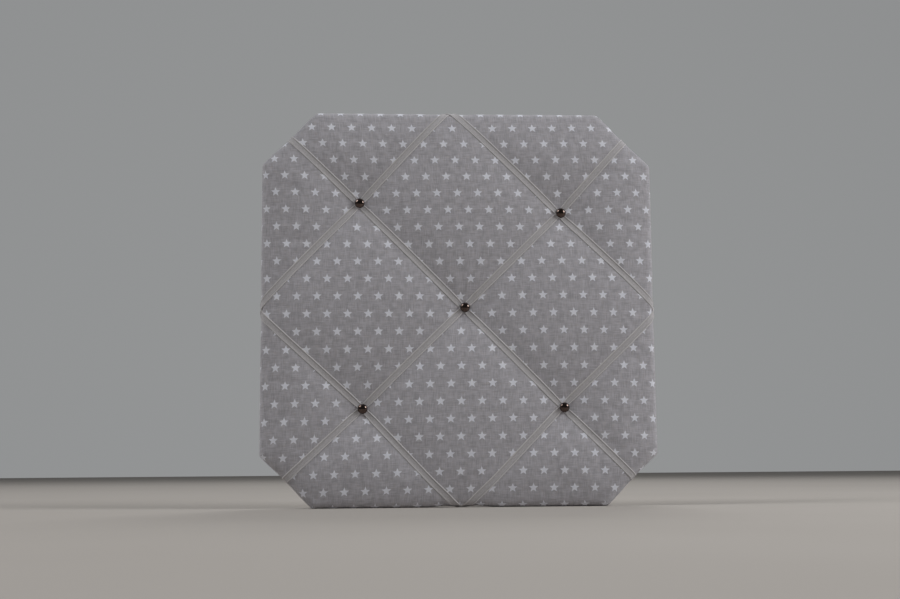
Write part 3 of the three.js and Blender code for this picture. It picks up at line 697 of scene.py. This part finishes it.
bronze_finish = bronzed_tack()
steel_finish = plated_steel(
    "plated_steel", (0.5, 0.49, 0.46), (0.68, 0.66, 0.62), (1.2, 1.2, 6.0), 0.18
)
wire_finish = plated_steel(
    "staple_wire", (0.42, 0.42, 0.42), (0.66, 0.66, 0.65), (5.0, 5.0, 5.0), 0.28
)

# %% Fibreboard and wadding


def fibreboard():
    finish = Finish("fibreboard", {"Specular IOR Level": 0.2})
    place = object_place(finish)
    x, y, z = place.split()
    bend = place.noise(0.05) * 22
    strands = finish.join(x * 0.22 + bend, y, z * 1.3).noise(1.0, 4.0)
    crossed = finish.join(x * 1.3, y, z * 0.22 - bend).noise(1.0, 4.0)
    pulp = place.noise(1.3, 5.0)
    light = (strands * 0.2 + crossed * 0.2 + pulp * 0.6).step(0.36, 0.64)
    board = light.mix((0.235, 0.15, 0.085), (0.4, 0.275, 0.165))
    fleck = place.noise(0.7).step(0.66, 0.72)
    board = (fleck * 0.7).mix(board, (0.13, 0.08, 0.045))
    slow = place.noise(0.012).step(0.3, 0.7)
    finish.feed("Base Color", (slow * 0.3).mix(board, (0.32, 0.225, 0.14)))
    finish.feed("Roughness", 0.82 + pulp * 0.16)
    finish.bump(light * 0.6 + pulp * 0.4, 0.3, 0.0004)
    return finish.done()


def wadding_fibre():
    finish = Finish("wadding_fibre", {"Roughness": 1.0, "Sheen Weight": 0.3})
    tangle = object_place(finish).noise(0.4, 6.0)
    fibres = tangle.step(0.35, 0.65).mix((0.7, 0.69, 0.66), (0.87, 0.86, 0.83))
    finish.feed("Base Color", fibres)
    finish.bump(tangle, 0.6, 0.001)
    return finish.done()


board_finish = fibreboard()
wadding_finish = wadding_fibre()
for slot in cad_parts["backing_board"].material_slots:
    slot.material = board_finish

# %% [markdown]
# ## Rows and columns of the outline
#
# The cover and the wadding share one grid. Its columns go once round the outline: along
# each edge, then round its corner. Its rows start at the centre tack, spread over the
# front, roll over the edge and end on the back. The corners of a stitched cover are never
# sharp, so each has a small radius, and the upper ones are softer.

# %% Columns round the outline
CORNER_RADIUS = np.array([8.5, 9.5, 9.5, 8.5, 5.0, 4.5, 4.5, 5.0])
LEAST_RADIUS, EIGHTH = 0.8, math.tan(math.pi / 8)


def outline_columns(side_count, chamfer_count, arc_count):
    """Each column's edge, share of the straight part and turn round the corner."""
    columns = []
    for edge in range(8):
        even = np.linspace(-1, 1, side_count if IS_SIDE[edge] else chamfer_count)
        share = even * (1.18 - 0.18 * even**4) if IS_SIDE[edge] else even
        arc = np.linspace(0, math.pi / 4, arc_count + 2)[1:-1]
        columns += [(edge, part, 0) for part in share] + [(edge, 1, bend) for bend in arc]
    edge, share, bend = np.array(columns).T
    return edge.astype(int), share, bend


def column_normal(columns):
    """Outward direction of each column, turning round the corners."""
    edge, _, bend = columns
    return on_plan(edge, np.cos(bend), np.sin(bend))


def outline(columns, inset, dents=0.0):
    """Plan points of the outline, drawn in by an inset and by a share of the dents."""
    edge, share, bend = columns
    radii = np.maximum(CORNER_RADIUS - inset, LEAST_RADIUS)
    length = np.where(share > 0, LENGTH_AFTER[edge], LENGTH_BEFORE[edge])
    corner = np.where(share > 0, radii[edge], radii[edge - 1])
    offset = share * (length - (inset + corner) * EIGHTH)
    outwards = REACH[edge] - inset + radii[edge] * (np.cos(bend) - 1)
    plan = on_plan(edge, outwards, offset + radii[edge] * np.sin(bend))
    return plan - column_normal(columns) * (dent(edge, offset) * dents)[:, None]


cover_columns = outline_columns(118, 40, 6)
print("cover has", len(cover_columns[0]), "columns")

# %% Rows from the centre to the back


def front_rows(columns, count):
    """Plan points on rings between the centre tack and the rim."""
    share = np.linspace(0, 1, count + 1)[1:, None, None]
    return CENTRE + share * (outline(columns, ROUNDING, dents=1.0) - CENTRE)


def edge_row(columns, run, lift):
    """One row of points after a run past the rim."""
    inset, depth = (float(value) for value in fold(np.array(run), lift))
    return in_space(outline(columns, inset, dents=dent_left(run)), depth)


print("a ring of the front has", front_rows(cover_columns, 3).shape[1], "points")

# %% [markdown]
# ## The wadding
#
# Under the cotton lies a pad of loose fibre. A soft body could be pressed into shape, but
# the height of the padding is already known, so the pad only has to follow it: over the
# front, round the edges, and back along the face of the board, closed all round.

# %% Wadding pad
PAD_LIFT, PAD_BACK, LIP_INSET, LIP_DEPTH = -0.9, -0.3, 4.7, 11.4


def wadding_pad():
    columns = outline_columns(56, 16, 3)
    rows = list(raised(front_rows(columns, 44), PAD_LIFT))
    runs = [*np.linspace(0, ARC, 6)[1:], WALL_END - 0.5]
    rows += [edge_row(columns, run, PAD_LIFT) for run in runs]
    lip = outline(columns, LIP_INSET)
    lip[:, 1] = np.minimum(lip[:, 1], SPAN - LIP_INSET)
    rows += [in_space(lip, depth) for depth in (LIP_DEPTH, PAD_BACK)]
    middle = CENTRE[None]
    points = np.vstack([raised(middle, PAD_LIFT), *rows, in_space(middle, PAD_BACK)])
    return make_piece("wadding_pad", points, domed_faces(len(rows), len(columns[0])))


pad = wadding_pad()
settle(pad, wadding_finish, "board", "wadding", "wadding")

# %% [markdown]
# ## The cotton cover
#
# One square of cotton with its corners cut off is drawn over the padding, turned over the
# edges and stapled on the back, where the spare cloth at each corner is laid over in a
# flat pleat. A sheet draped by simulation would leave the folds to chance, so each row is
# laid in its place. The print was drawn slightly out of true when the cloth was pulled
# tight, so the UV map is a gentle cubic of the flat cloth, counted in star pitches.

# %% Print map and pleats
HEM_END = FOLD_END + 37.0
PLEAT_THICK, PLEAT_RISE, PLEAT_EDGE = 1.1, 9.0, 0.9
PLEAT_START, PLEAT_SPREAD = 2.5, 0.38
PRINT_MAP = np.array([
    [-2.579, 9.6004, 0.0372, 0.2774, 0.1108, 0.0477, 0.0105, -0.024, 0, 0.1521],
    [0.3613, -0.0913, 11.3007, 0.0501, 0.1799, 0.0584, 0, -0.1794, -0.0242, 0.0747],
])


def print_map(flat):
    """Star pitches across and up at a point of the flat cloth: a cubic that is straight
    beyond the front."""
    x, z = (flat / SPAN).T
    w, b = np.clip(x, -1, 1), np.clip(z, -1, 1)
    terms = [x**0, x, z, b**2, b**3, w * b, w**2, w**2 * b, w * b**2, w**3]
    return np.stack(terms, axis=1) @ PRINT_MAP.T


def pleat(columns, run):
    """Extra thickness of the flap of spare cloth past each corner, sharp at its fold."""
    edge, share, bend = columns
    inset = max(run - FOLD_END, 0.0)
    from_corner = (1 + share) * (LENGTH_BEFORE[edge] - inset * EIGHTH)
    width = PLEAT_START + PLEAT_SPREAD * inset
    flap = 1 - smooth(width - PLEAT_EDGE, width, from_corner)
    rising = smooth(0, math.pi / 4, bend)
    return PLEAT_THICK * smooth(0, PLEAT_RISE, inset) * np.where(bend > 0, rising, flap)


print("print map at the centre:", print_map(np.zeros((1, 2))).round(2))

# %% Cover
HEM_THICK, HEM_RETURN = 0.55, 6.0


def cotton_cover(columns):
    plan = front_rows(columns, 84)
    rows, flats = list(raised(plan, 0.0)), list(plan)
    stops = [0, ARC, WALL_END, FOLD_END, HEM_END]
    for start, stop, steps in zip(stops, stops[1:], (6, 6, 3, 14)):
        for run in np.linspace(start, stop, steps + 1)[1:]:
            row = edge_row(columns, run, 0.0)
            row[:, 1] += pleat(columns, run)
            rows.append(row)
            flats.append(plan[-1] + column_normal(columns) * run)
    rows += [rows[-1] - [0, HEM_THICK, 0], edge_row(columns, HEM_END - HEM_RETURN, -HEM_THICK)]
    flats += [flats[-1], flats[-1]]
    middle = CENTRE[None]
    points = np.vstack([raised(middle, 0.0), *rows])
    uv = print_map(np.vstack([middle, *flats]))
    faces = domed_faces(len(rows), len(columns[0]), both=False)
    return make_piece("cotton_cover", points, faces, uv, about=(0, BACK_FACE, 0))


cover = cotton_cover(cover_columns)
settle(cover, cotton_finish, "board", "printed_cotton", "fabric_cover")
cut = (REACH[[0, 2]] + REACH[[4, 6]] + 2 * (HEM_END - ROUNDING)) / 1000
cut_corner = cut.mean() - math.sqrt(2) * (REACH[1] - ROUNDING + HEM_END) / 1000
cut[0] * cut[1] - 2 * cut_corner**2
print("cotton cut to", cut.round(3), "m")

# %% [markdown]
# ## The ribbons
#
# Each ribbon is a flat tape with thicker edges, pulled straight from edge to edge. A
# bevelled curve would not lie flat on the cushions, so the tape's section is carried
# along a line on the flat cloth, and `lay` drapes every point: it dips to the tacks,
# bends over the edge and ends on the back. A tack gathers the tape a little, and where
# two tapes cross, the upper one is lifted in a short hump.

# %% Section and path of a ribbon
RIBBON_HALF, RIBBON_THICK, STATION = 3.6, 0.62, 1.4
OVER_LIFT, HUMP_TOP, HUMP_END = 0.5, 3.85, 11.0


def ribbon_section():
    """Across and height round the tape: a thin middle, raised edges and the underside."""
    half = np.array([0, 0.25, 0.42, 0.51, 0.6, 0.69, 0.78, 0.87, 0.94, 0.98, 1.0])
    across = np.hstack([-half[:0:-1], half])
    edges = 0.38 + 0.62 * smooth(0.42, 0.78, np.abs(across))
    top = RIBBON_THICK * np.sqrt(1 - np.abs(across) ** 10) * edges
    under = np.linspace(1, -1, 6)[1:-1]
    return np.hstack([across, under]) * RIBBON_HALF, np.hstack([top, under * 0])


def ribbon_path(corners):
    """Even stations along straight runs between corners, with each bend eased."""
    corners = np.array(corners)
    lengths = np.linalg.norm(np.diff(corners, axis=0), axis=1)
    reached = np.hstack([[0], np.cumsum(lengths)])
    distance = np.linspace(0, reached[-1], int(reached[-1] / STATION) + 1)
    line = np.stack([np.interp(distance, reached, way) for way in corners.T], axis=1)
    window = np.hanning(11) / np.hanning(11).sum()
    padded = np.vstack([2 * line[0] - line[5:0:-1], line, 2 * line[-1] - line[-2:-7:-1]])
    eased = np.stack([np.convolve(way, window, "valid") for way in padded.T], axis=1)
    return distance, reached, eased


def hump(distance, places):
    """Lift of a tape near the places where it passes over another."""
    away = np.abs(distance[:, None] - np.array(places))
    return OVER_LIFT * (1 - smooth(HUMP_TOP, HUMP_END, away)).max(axis=1, initial=0)


section_across, section_height = ribbon_section()
print("ribbon section has", len(section_across), "points")

# %% Tapes
RIBBON_TAIL, RIBBON_LIFT, GATHER, GATHER_REACH = 25.0, 0.1, 0.24, 9.0


def unit(vector):
    """The same direction, one unit long."""
    return vector / np.linalg.norm(vector, axis=-1, keepdims=True)


def ribbon(name, ends, crossings, over_corners, over_last_edge=False):
    """Tape from end to end, lifted where it passes over another."""
    total = FOLD_END + RIBBON_TAIL
    corners = [flat_point(ends[0], total), *crossings, flat_point(ends[1], total)]
    distance, reached, line = ribbon_path(corners)
    heading = unit(np.gradient(line, axis=0))
    to_tack = np.abs(distance[:, None] - reached[1:-1]).min(axis=1)
    width = 1 - GATHER * np.exp(-((to_tack / GATHER_REACH) ** 2))
    sideways = pairs(-heading[:, 1], heading[:, 0]) * width[:, None]
    flat = line[:, None, :] + sideways[:, None, :] * section_across[:, None]
    (first_edge, _, _), (last_edge, _, last_slope) = ends
    edge = np.where(distance < reached[-1] / 2, first_edge, last_edge)
    places = [reached[corner] for corner in over_corners]
    if over_last_edge:
        past = total - ARC - PAIR_SPACING[last_edge] / 2
        places.append(reached[-1] - past * math.hypot(1, last_slope))
    lift = RIBBON_LIFT + hump(distance, places)
    rows = lay(flat, edge[:, None], lift[:, None] + section_height)
    uv = pairs(distance[:, None], section_across)
    faces = tube_faces(*rows.shape[:2])
    tape = make_piece(f"tape_{name}", rows.reshape(-1, 3), faces, uv.reshape(-1, 2))
    settle(tape, ribbon_finish, "board", "ribbon", f"ribbon_{name}")


for name, first, last, over in (("long_falling", 1, 3, []), ("long_rising", 2, 0, [2])):
    ends = [branches[first][1], branches[last][1]]
    ribbon(name, ends, [CROSSINGS[first], MID_CROSSING, CROSSINGS[last]], over)
for quarter, branch, crossing in zip(QUARTERS, branches, SHORT_CROSSINGS):
    ribbon(f"short_{quarter}", branch[::2], [crossing], [1], over_last_edge=True)

# %% [markdown]
# ## The tacks
#
# A tack is a thin pressed dome with a nail in its middle. Half a sphere would lack the
# rim and the hollow, so a whole profile is turned about its axis: over the dome, round
# the rim, back inside and down the nail to its point. A turned shape needs one shared
# point at each pole, or the tip stays open.

# %% Turning a profile


def full_turn(count):
    """Even angles once round."""
    return np.linspace(0, math.tau, count, endpoint=False)


def revolve(profile, sides, shape=None):
    """Profile of (radius, depth) pairs turned about the depth axis, with single points at
    both poles. shape may change the depths, as for a recess."""
    radius, depth = profile[:, :1], profile[:, 1:]
    x, z = radius * np.cos(full_turn(sides)), radius * np.sin(full_turn(sides))
    y = np.broadcast_to(depth, x.shape)
    y = y if shape is None else shape(x, y, z)
    rings = np.stack([x, y, z], axis=-1)
    points = np.vstack([rings[0, :1], rings[1:-1].reshape(-1, 3), rings[-1, :1]])
    return points, domed_faces(len(profile) - 2, sides)


print("twelve angles go round a dial:", np.degrees(full_turn(12)).round())

# %% Tacks
DOME_RADIUS, DOME_HEIGHT, DOME_WALL, DOME_RIM = 5.0, 3.4, 0.6, -7.95
NAIL_RADIUS, NAIL_END, NAIL_TIP = 0.8, 13.7, 15.7


def tack_profile():
    """Half ellipse outside, rolled rim, half ellipse inside, nail and point."""
    hollow, roll = DOME_RADIUS - DOME_WALL, DOME_WALL / 2
    over = np.linspace(0, math.pi / 2, 20)
    rim = np.linspace(0, math.pi, 6)[1:-1]
    inside = np.linspace(math.pi / 2, math.asin(NAIL_RADIUS / hollow), 10)
    return np.vstack([
        pairs(DOME_RADIUS * np.sin(over), -DOME_HEIGHT * np.cos(over)),
        pairs(hollow + roll + roll * np.cos(rim), roll * np.sin(rim)),
        pairs(hollow * np.sin(inside), (DOME_WALL - DOME_HEIGHT) * np.cos(inside)),
        [[NAIL_RADIUS, NAIL_END], [0, NAIL_TIP]],
    ])


points, faces = revolve(tack_profile(), 56)
for name, place in zip(["centre", *QUARTERS], EVERY_TACK):
    tack = make_piece(f"dome_tack_{name}", points + in_space(place, DOME_RIM), faces)
    settle(tack, bronze_finish, "board", "bronzed_tack", f"tack_{name}")

# %% [markdown]
# ## The hangers
#
# On the back two D-rings hang from straps of plated steel. A strap is a strip whose
# section is carried up its plate and round the curl that holds the ring, and a ring is a
# wire carried round a D. The screws are turned profiles. A boolean could cut their cross
# recess, but lowering the points that fall inside a cross keeps the mesh even.

# %% Carrying a section along a path


def sweep(path, sideways, section, closed=False):
    """Section of (sideways, outward) pairs at each station; the path lies in a plane, so
    outward is the cross product of its heading with the sideways direction."""
    if closed:
        heading = np.roll(path, -1, axis=0) - np.roll(path, 1, axis=0)
    else:
        heading = np.gradient(path, axis=0)
    outward = np.cross(unit(heading), sideways)
    points = path[:, None, :] + section[..., :1] * sideways + section[..., 1:] * outward[:, None, :]
    rows, count = points.shape[:2]
    if closed:
        faces = (np.array(grid_faces(rows + 1, count, closed=True)) % (rows * count)).tolist()
    else:
        faces = tube_faces(rows, count)
    return points.reshape(-1, 3), faces


def arc_points(middle, radii, start, end, count):
    """Points on an ellipse about a middle, between two angles in degrees."""
    angle = np.radians(np.linspace(start, end, count))
    return middle + pairs(np.cos(angle), np.sin(angle)) * radii


print("a quarter circle ends at", arc_points((0, 0), 1, 0, 90, 5)[-1].round(2))

# %% Straps and rings
BAR_X, BAR_Y, BAR_Z, BAR_HALF = 125.0, 14.7, 130.0, 6.0
WIRE, RING_BEND, RING_DROP = 1.1, 3.1, 11.1
PLATE, STRAP_HALF, STRAP_THICK, CURL = 24.0, 6.0, 1.0, 1.9


def strap_points():
    """Flat strip: a plate with a round end, then a curl about the bar."""
    rounded = -PLATE - STRAP_HALF * np.cos(np.linspace(0.03, math.pi / 2, 14))
    plate = np.hstack([rounded, np.linspace(-PLATE, 0, 12)[1:]])
    curl = arc_points((0, 0), CURL, -90, 192, 40)[1:]
    side = np.vstack([pairs(plate, -CURL), curl])
    path = in_space(pairs(0, side[:, 0]), side[:, 1])
    past = np.maximum(-PLATE - side[:, :1], 0)
    half = np.sqrt(np.maximum(STRAP_HALF**2 - past**2, 0.01))
    cosine, sine = np.cos(full_turn(32)), np.sin(full_turn(32))
    across = half * np.sign(cosine) * np.abs(cosine) ** 0.18
    thick = STRAP_THICK / 2 * np.sign(sine) * np.abs(sine) ** 0.5
    return sweep(path, [1, 0, 0], pairs(across, thick))


def wire_section(radii, count, start=0.0):
    """A round or oval section, the same at every station."""
    angle = full_turn(count) + start
    return pairs(np.cos(angle), np.sin(angle)) * radii


def ring_points():
    """Round wire bent to a D that hangs from its straight bar."""
    bar = pairs(np.linspace(-BAR_HALF, BAR_HALF, 25), 0)
    right = arc_points((BAR_HALF, -RING_BEND), RING_BEND, 90, 0, 12)[1:]
    bow = arc_points((0, -RING_BEND), (BAR_HALF + RING_BEND, RING_DROP), 0, -180, 70)[1:]
    left = arc_points((-BAR_HALF, -RING_BEND), RING_BEND, 180, 90, 12)[1:-1]
    path = in_space(np.vstack([bar, right, bow, left]), 0.0)
    return sweep(path, [0, 1, 0], wire_section(WIRE, 20), closed=True)


print("a ring has", len(ring_points()[0]), "points")

# %% Screws and the whole hangers
SCREW_SEAT, HEAD_RADIUS, SHANK_RADIUS = 13.6, 3.2, 1.4
SHANK_END, SCREW_TIP = -8.1, -10.6
ARM_LENGTH, ARM_HALF, RECESS_DEPTH = 1.9, 0.42, 0.9


def screw_points():
    """Pan head with a cross recess, shank and point, with its seat at zero."""
    dome = np.linspace(0, math.pi / 2, 22)
    head = pairs(HEAD_RADIUS * np.sin(dome) ** 0.9, 0.5 + 1.4 * np.cos(dome) ** 0.8)
    below = [[HEAD_RADIUS, 0.05], [HEAD_RADIUS - 0.05, 0], [SHANK_RADIUS, 0]]
    shank = [[SHANK_RADIUS, SHANK_END], [0, SCREW_TIP]]

    def recess(x, y, z):
        x, z = np.abs(x), np.abs(z)
        arms = [np.maximum(a / ARM_LENGTH, b / ARM_HALF) for a, b in ((x, z), (z, x))]
        cut = RECESS_DEPTH * (1 - smooth(0.9, 1.1, np.minimum(*arms)))
        return np.where(y > 0.2, y - cut, y)

    return revolve(np.vstack([head, below, shank]), 96, recess)


for side, x in (("left", -BAR_X), ("right", BAR_X)):
    bar, seat = np.array([x, BAR_Y, BAR_Z]), np.array([x, SCREW_SEAT, BAR_Z - PLATE])
    for name, (points, faces), place, body in (
        ("strap", strap_points(), bar, "board"),
        ("ring", ring_points(), bar, f"{side}_ring"),
        ("screw", screw_points(), seat, "board"),
    ):
        piece = make_piece(f"steel_{name}_{side}", points + place, faces)
        settle(piece, steel_finish, body, "plated_steel", f"hanger_{name}_{side}")

# %% [markdown]
# ## The staples
#
# The hem and the ribbon ends are held by wire staples, of which only the crowns show. One
# bent wire is worked out once. Linked copies could repeat it, but an array of turns and
# places makes all the staples of a kind one mesh.

# %% One staple
STAPLE_HALF, STAPLE_BEND, STAPLE_WIRE, CROWN_LIFT = 5.2, 0.7, (0.54, 0.32), 0.3


def staple_points(leg):
    """Flat wire bent twice: a leg, a crown lying on zero, and a leg."""
    x, y = STAPLE_HALF - STAPLE_BEND, CROWN_LIFT - STAPLE_BEND
    first = arc_points((-x, y), STAPLE_BEND, 180, 90, 6)
    second = arc_points((x, y), STAPLE_BEND, 90, 0, 6)
    line = np.vstack([[[-STAPLE_HALF, -leg]], first, second, [[STAPLE_HALF, -leg]]])
    path = np.pad(line, [(0, 0), (0, 1)])
    return sweep(path, [0, 0, 1], wire_section(STAPLE_WIRE, 8, math.pi / 8))


print("a staple has", len(staple_points(6.0)[0]), "points")

# %% Rows of staples
STAPLE_INSET, STAPLE_TIP, HEM_SEAT, TAIL_SEAT = 16.0, 6.5, 13.05, 13.6
FROM_MIDDLE, FROM_CORNER = 64.0, np.where(IS_SIDE, 36.0, 16.0)


def staple_row(name, spots, seat):
    """Copies of one staple at spots of the back, each a place and a heading."""
    points, faces = staple_points(seat - STAPLE_TIP)
    place, ahead = np.moveaxis(np.array(list(spots)), 1, 0)[:, :, None]
    aside = ahead[..., ::-1] * [-1, 1]
    plan = place + ahead * points[:, :1] + aside * points[:, 2:]
    placed = in_space(plan, points[:, 1] + seat)
    firsts = range(0, len(place) * len(points), len(points))
    every = [[corner + first for corner in face] for first in firsts for face in faces]
    piece = make_piece(f"{name}s", placed.reshape(-1, 3), every)
    nodes = [f"{name}_{number:02d}" for number in range(1, len(place) + 1)]
    settle(piece, wire_finish, "board", "staple_wire", *nodes)


def hem_spots():
    """Staples on both sides of the middle of a side, and near both ends of every edge."""
    for edge in range(8):
        end = min(LENGTH_BEFORE[edge], LENGTH_AFTER[edge]) - FROM_CORNER[edge]
        for offset in [-FROM_MIDDLE, FROM_MIDDLE, -end, end] if IS_SIDE[edge] else [-end, end]:
            yield on_plan(edge, REACH[edge] - STAPLE_INSET, offset), ALONG[edge]


def tail_spots():
    """One staple across each ribbon end."""
    for edge, offset, slope in sum(branches, []):
        offset += slope * (FOLD_END + STAPLE_INSET)
        heading = unit(-ALONG[edge] - NORMAL[edge] * slope)
        yield on_plan(edge, REACH[edge] - STAPLE_INSET, offset), heading


staple_row("hem_staple", hem_spots(), HEM_SEAT)
staple_row("ribbon_staple", tail_spots(), TAIL_SEAT)

# %% [markdown]
# ## Floor and light
#
# The board stands on a plain pale floor. Two large soft lights stand in front like
# windows, a high one on the left and a lower one on the right: they give the domes their
# two glints, and the light from above shades the padding under each ribbon. A weaker one
# shows the back, and an even light fills the rest. The background is brighter behind the
# board than in front of it.

# %% Floor
finish = Finish("pale_floor", {"Roughness": 0.9, "Specular IOR Level": 0.1})
cloud = object_place(finish, 1.0).noise(3.0, 3.0)
finish.feed("Base Color", cloud.mix((0.45, 0.42, 0.39), (0.49, 0.46, 0.43)))
floor_mesh = bpy.data.meshes.new("floor")
floor_mesh.from_pydata([(-9, -9, 0), (9, -9, 0), (9, 9, 0), (-9, 9, 0)], [], [(0, 1, 2, 3)])
floor_mesh.materials.append(finish.done())
floor = add_object("floor", floor_mesh)
print("floor is 18 m square")

# %% Lights
AIM = Vector((0, 0, 0.2))


def softbox(name, place, size, power):
    """Square area light that looks at the board."""
    data = bpy.data.lights.new(name, "AREA")
    data.shape = "SQUARE"
    data.size = size
    data.energy = power
    light = add_object(name, data)
    light.location = place
    light.rotation_mode = "QUATERNION"
    light.rotation_quaternion = (AIM - Vector(place)).to_track_quat("-Z", "Y")


softbox("window_left", (-2.95, -1.0, 3.3), 1.8, 71)
softbox("window_behind", (0.6, 2.4, 2.8), 1.4, 26)
softbox("window_right", (2.1, -0.95, 1.45), 1.1, 34)

room = Finish("room", {"Color": (0.97, 0.99, 1.0, 1.0)}, bpy.data.worlds, "Background")
_, backwards, _ = room.node("TexCoord").split()
brightness = {"Value": backwards, "From Min": -0.6, "To Min": 0.07, "To Max": 0.3}
room.feed("Strength", room.node("MapRange", brightness))
scene.world = room.done()
print("three windows and an even fill")
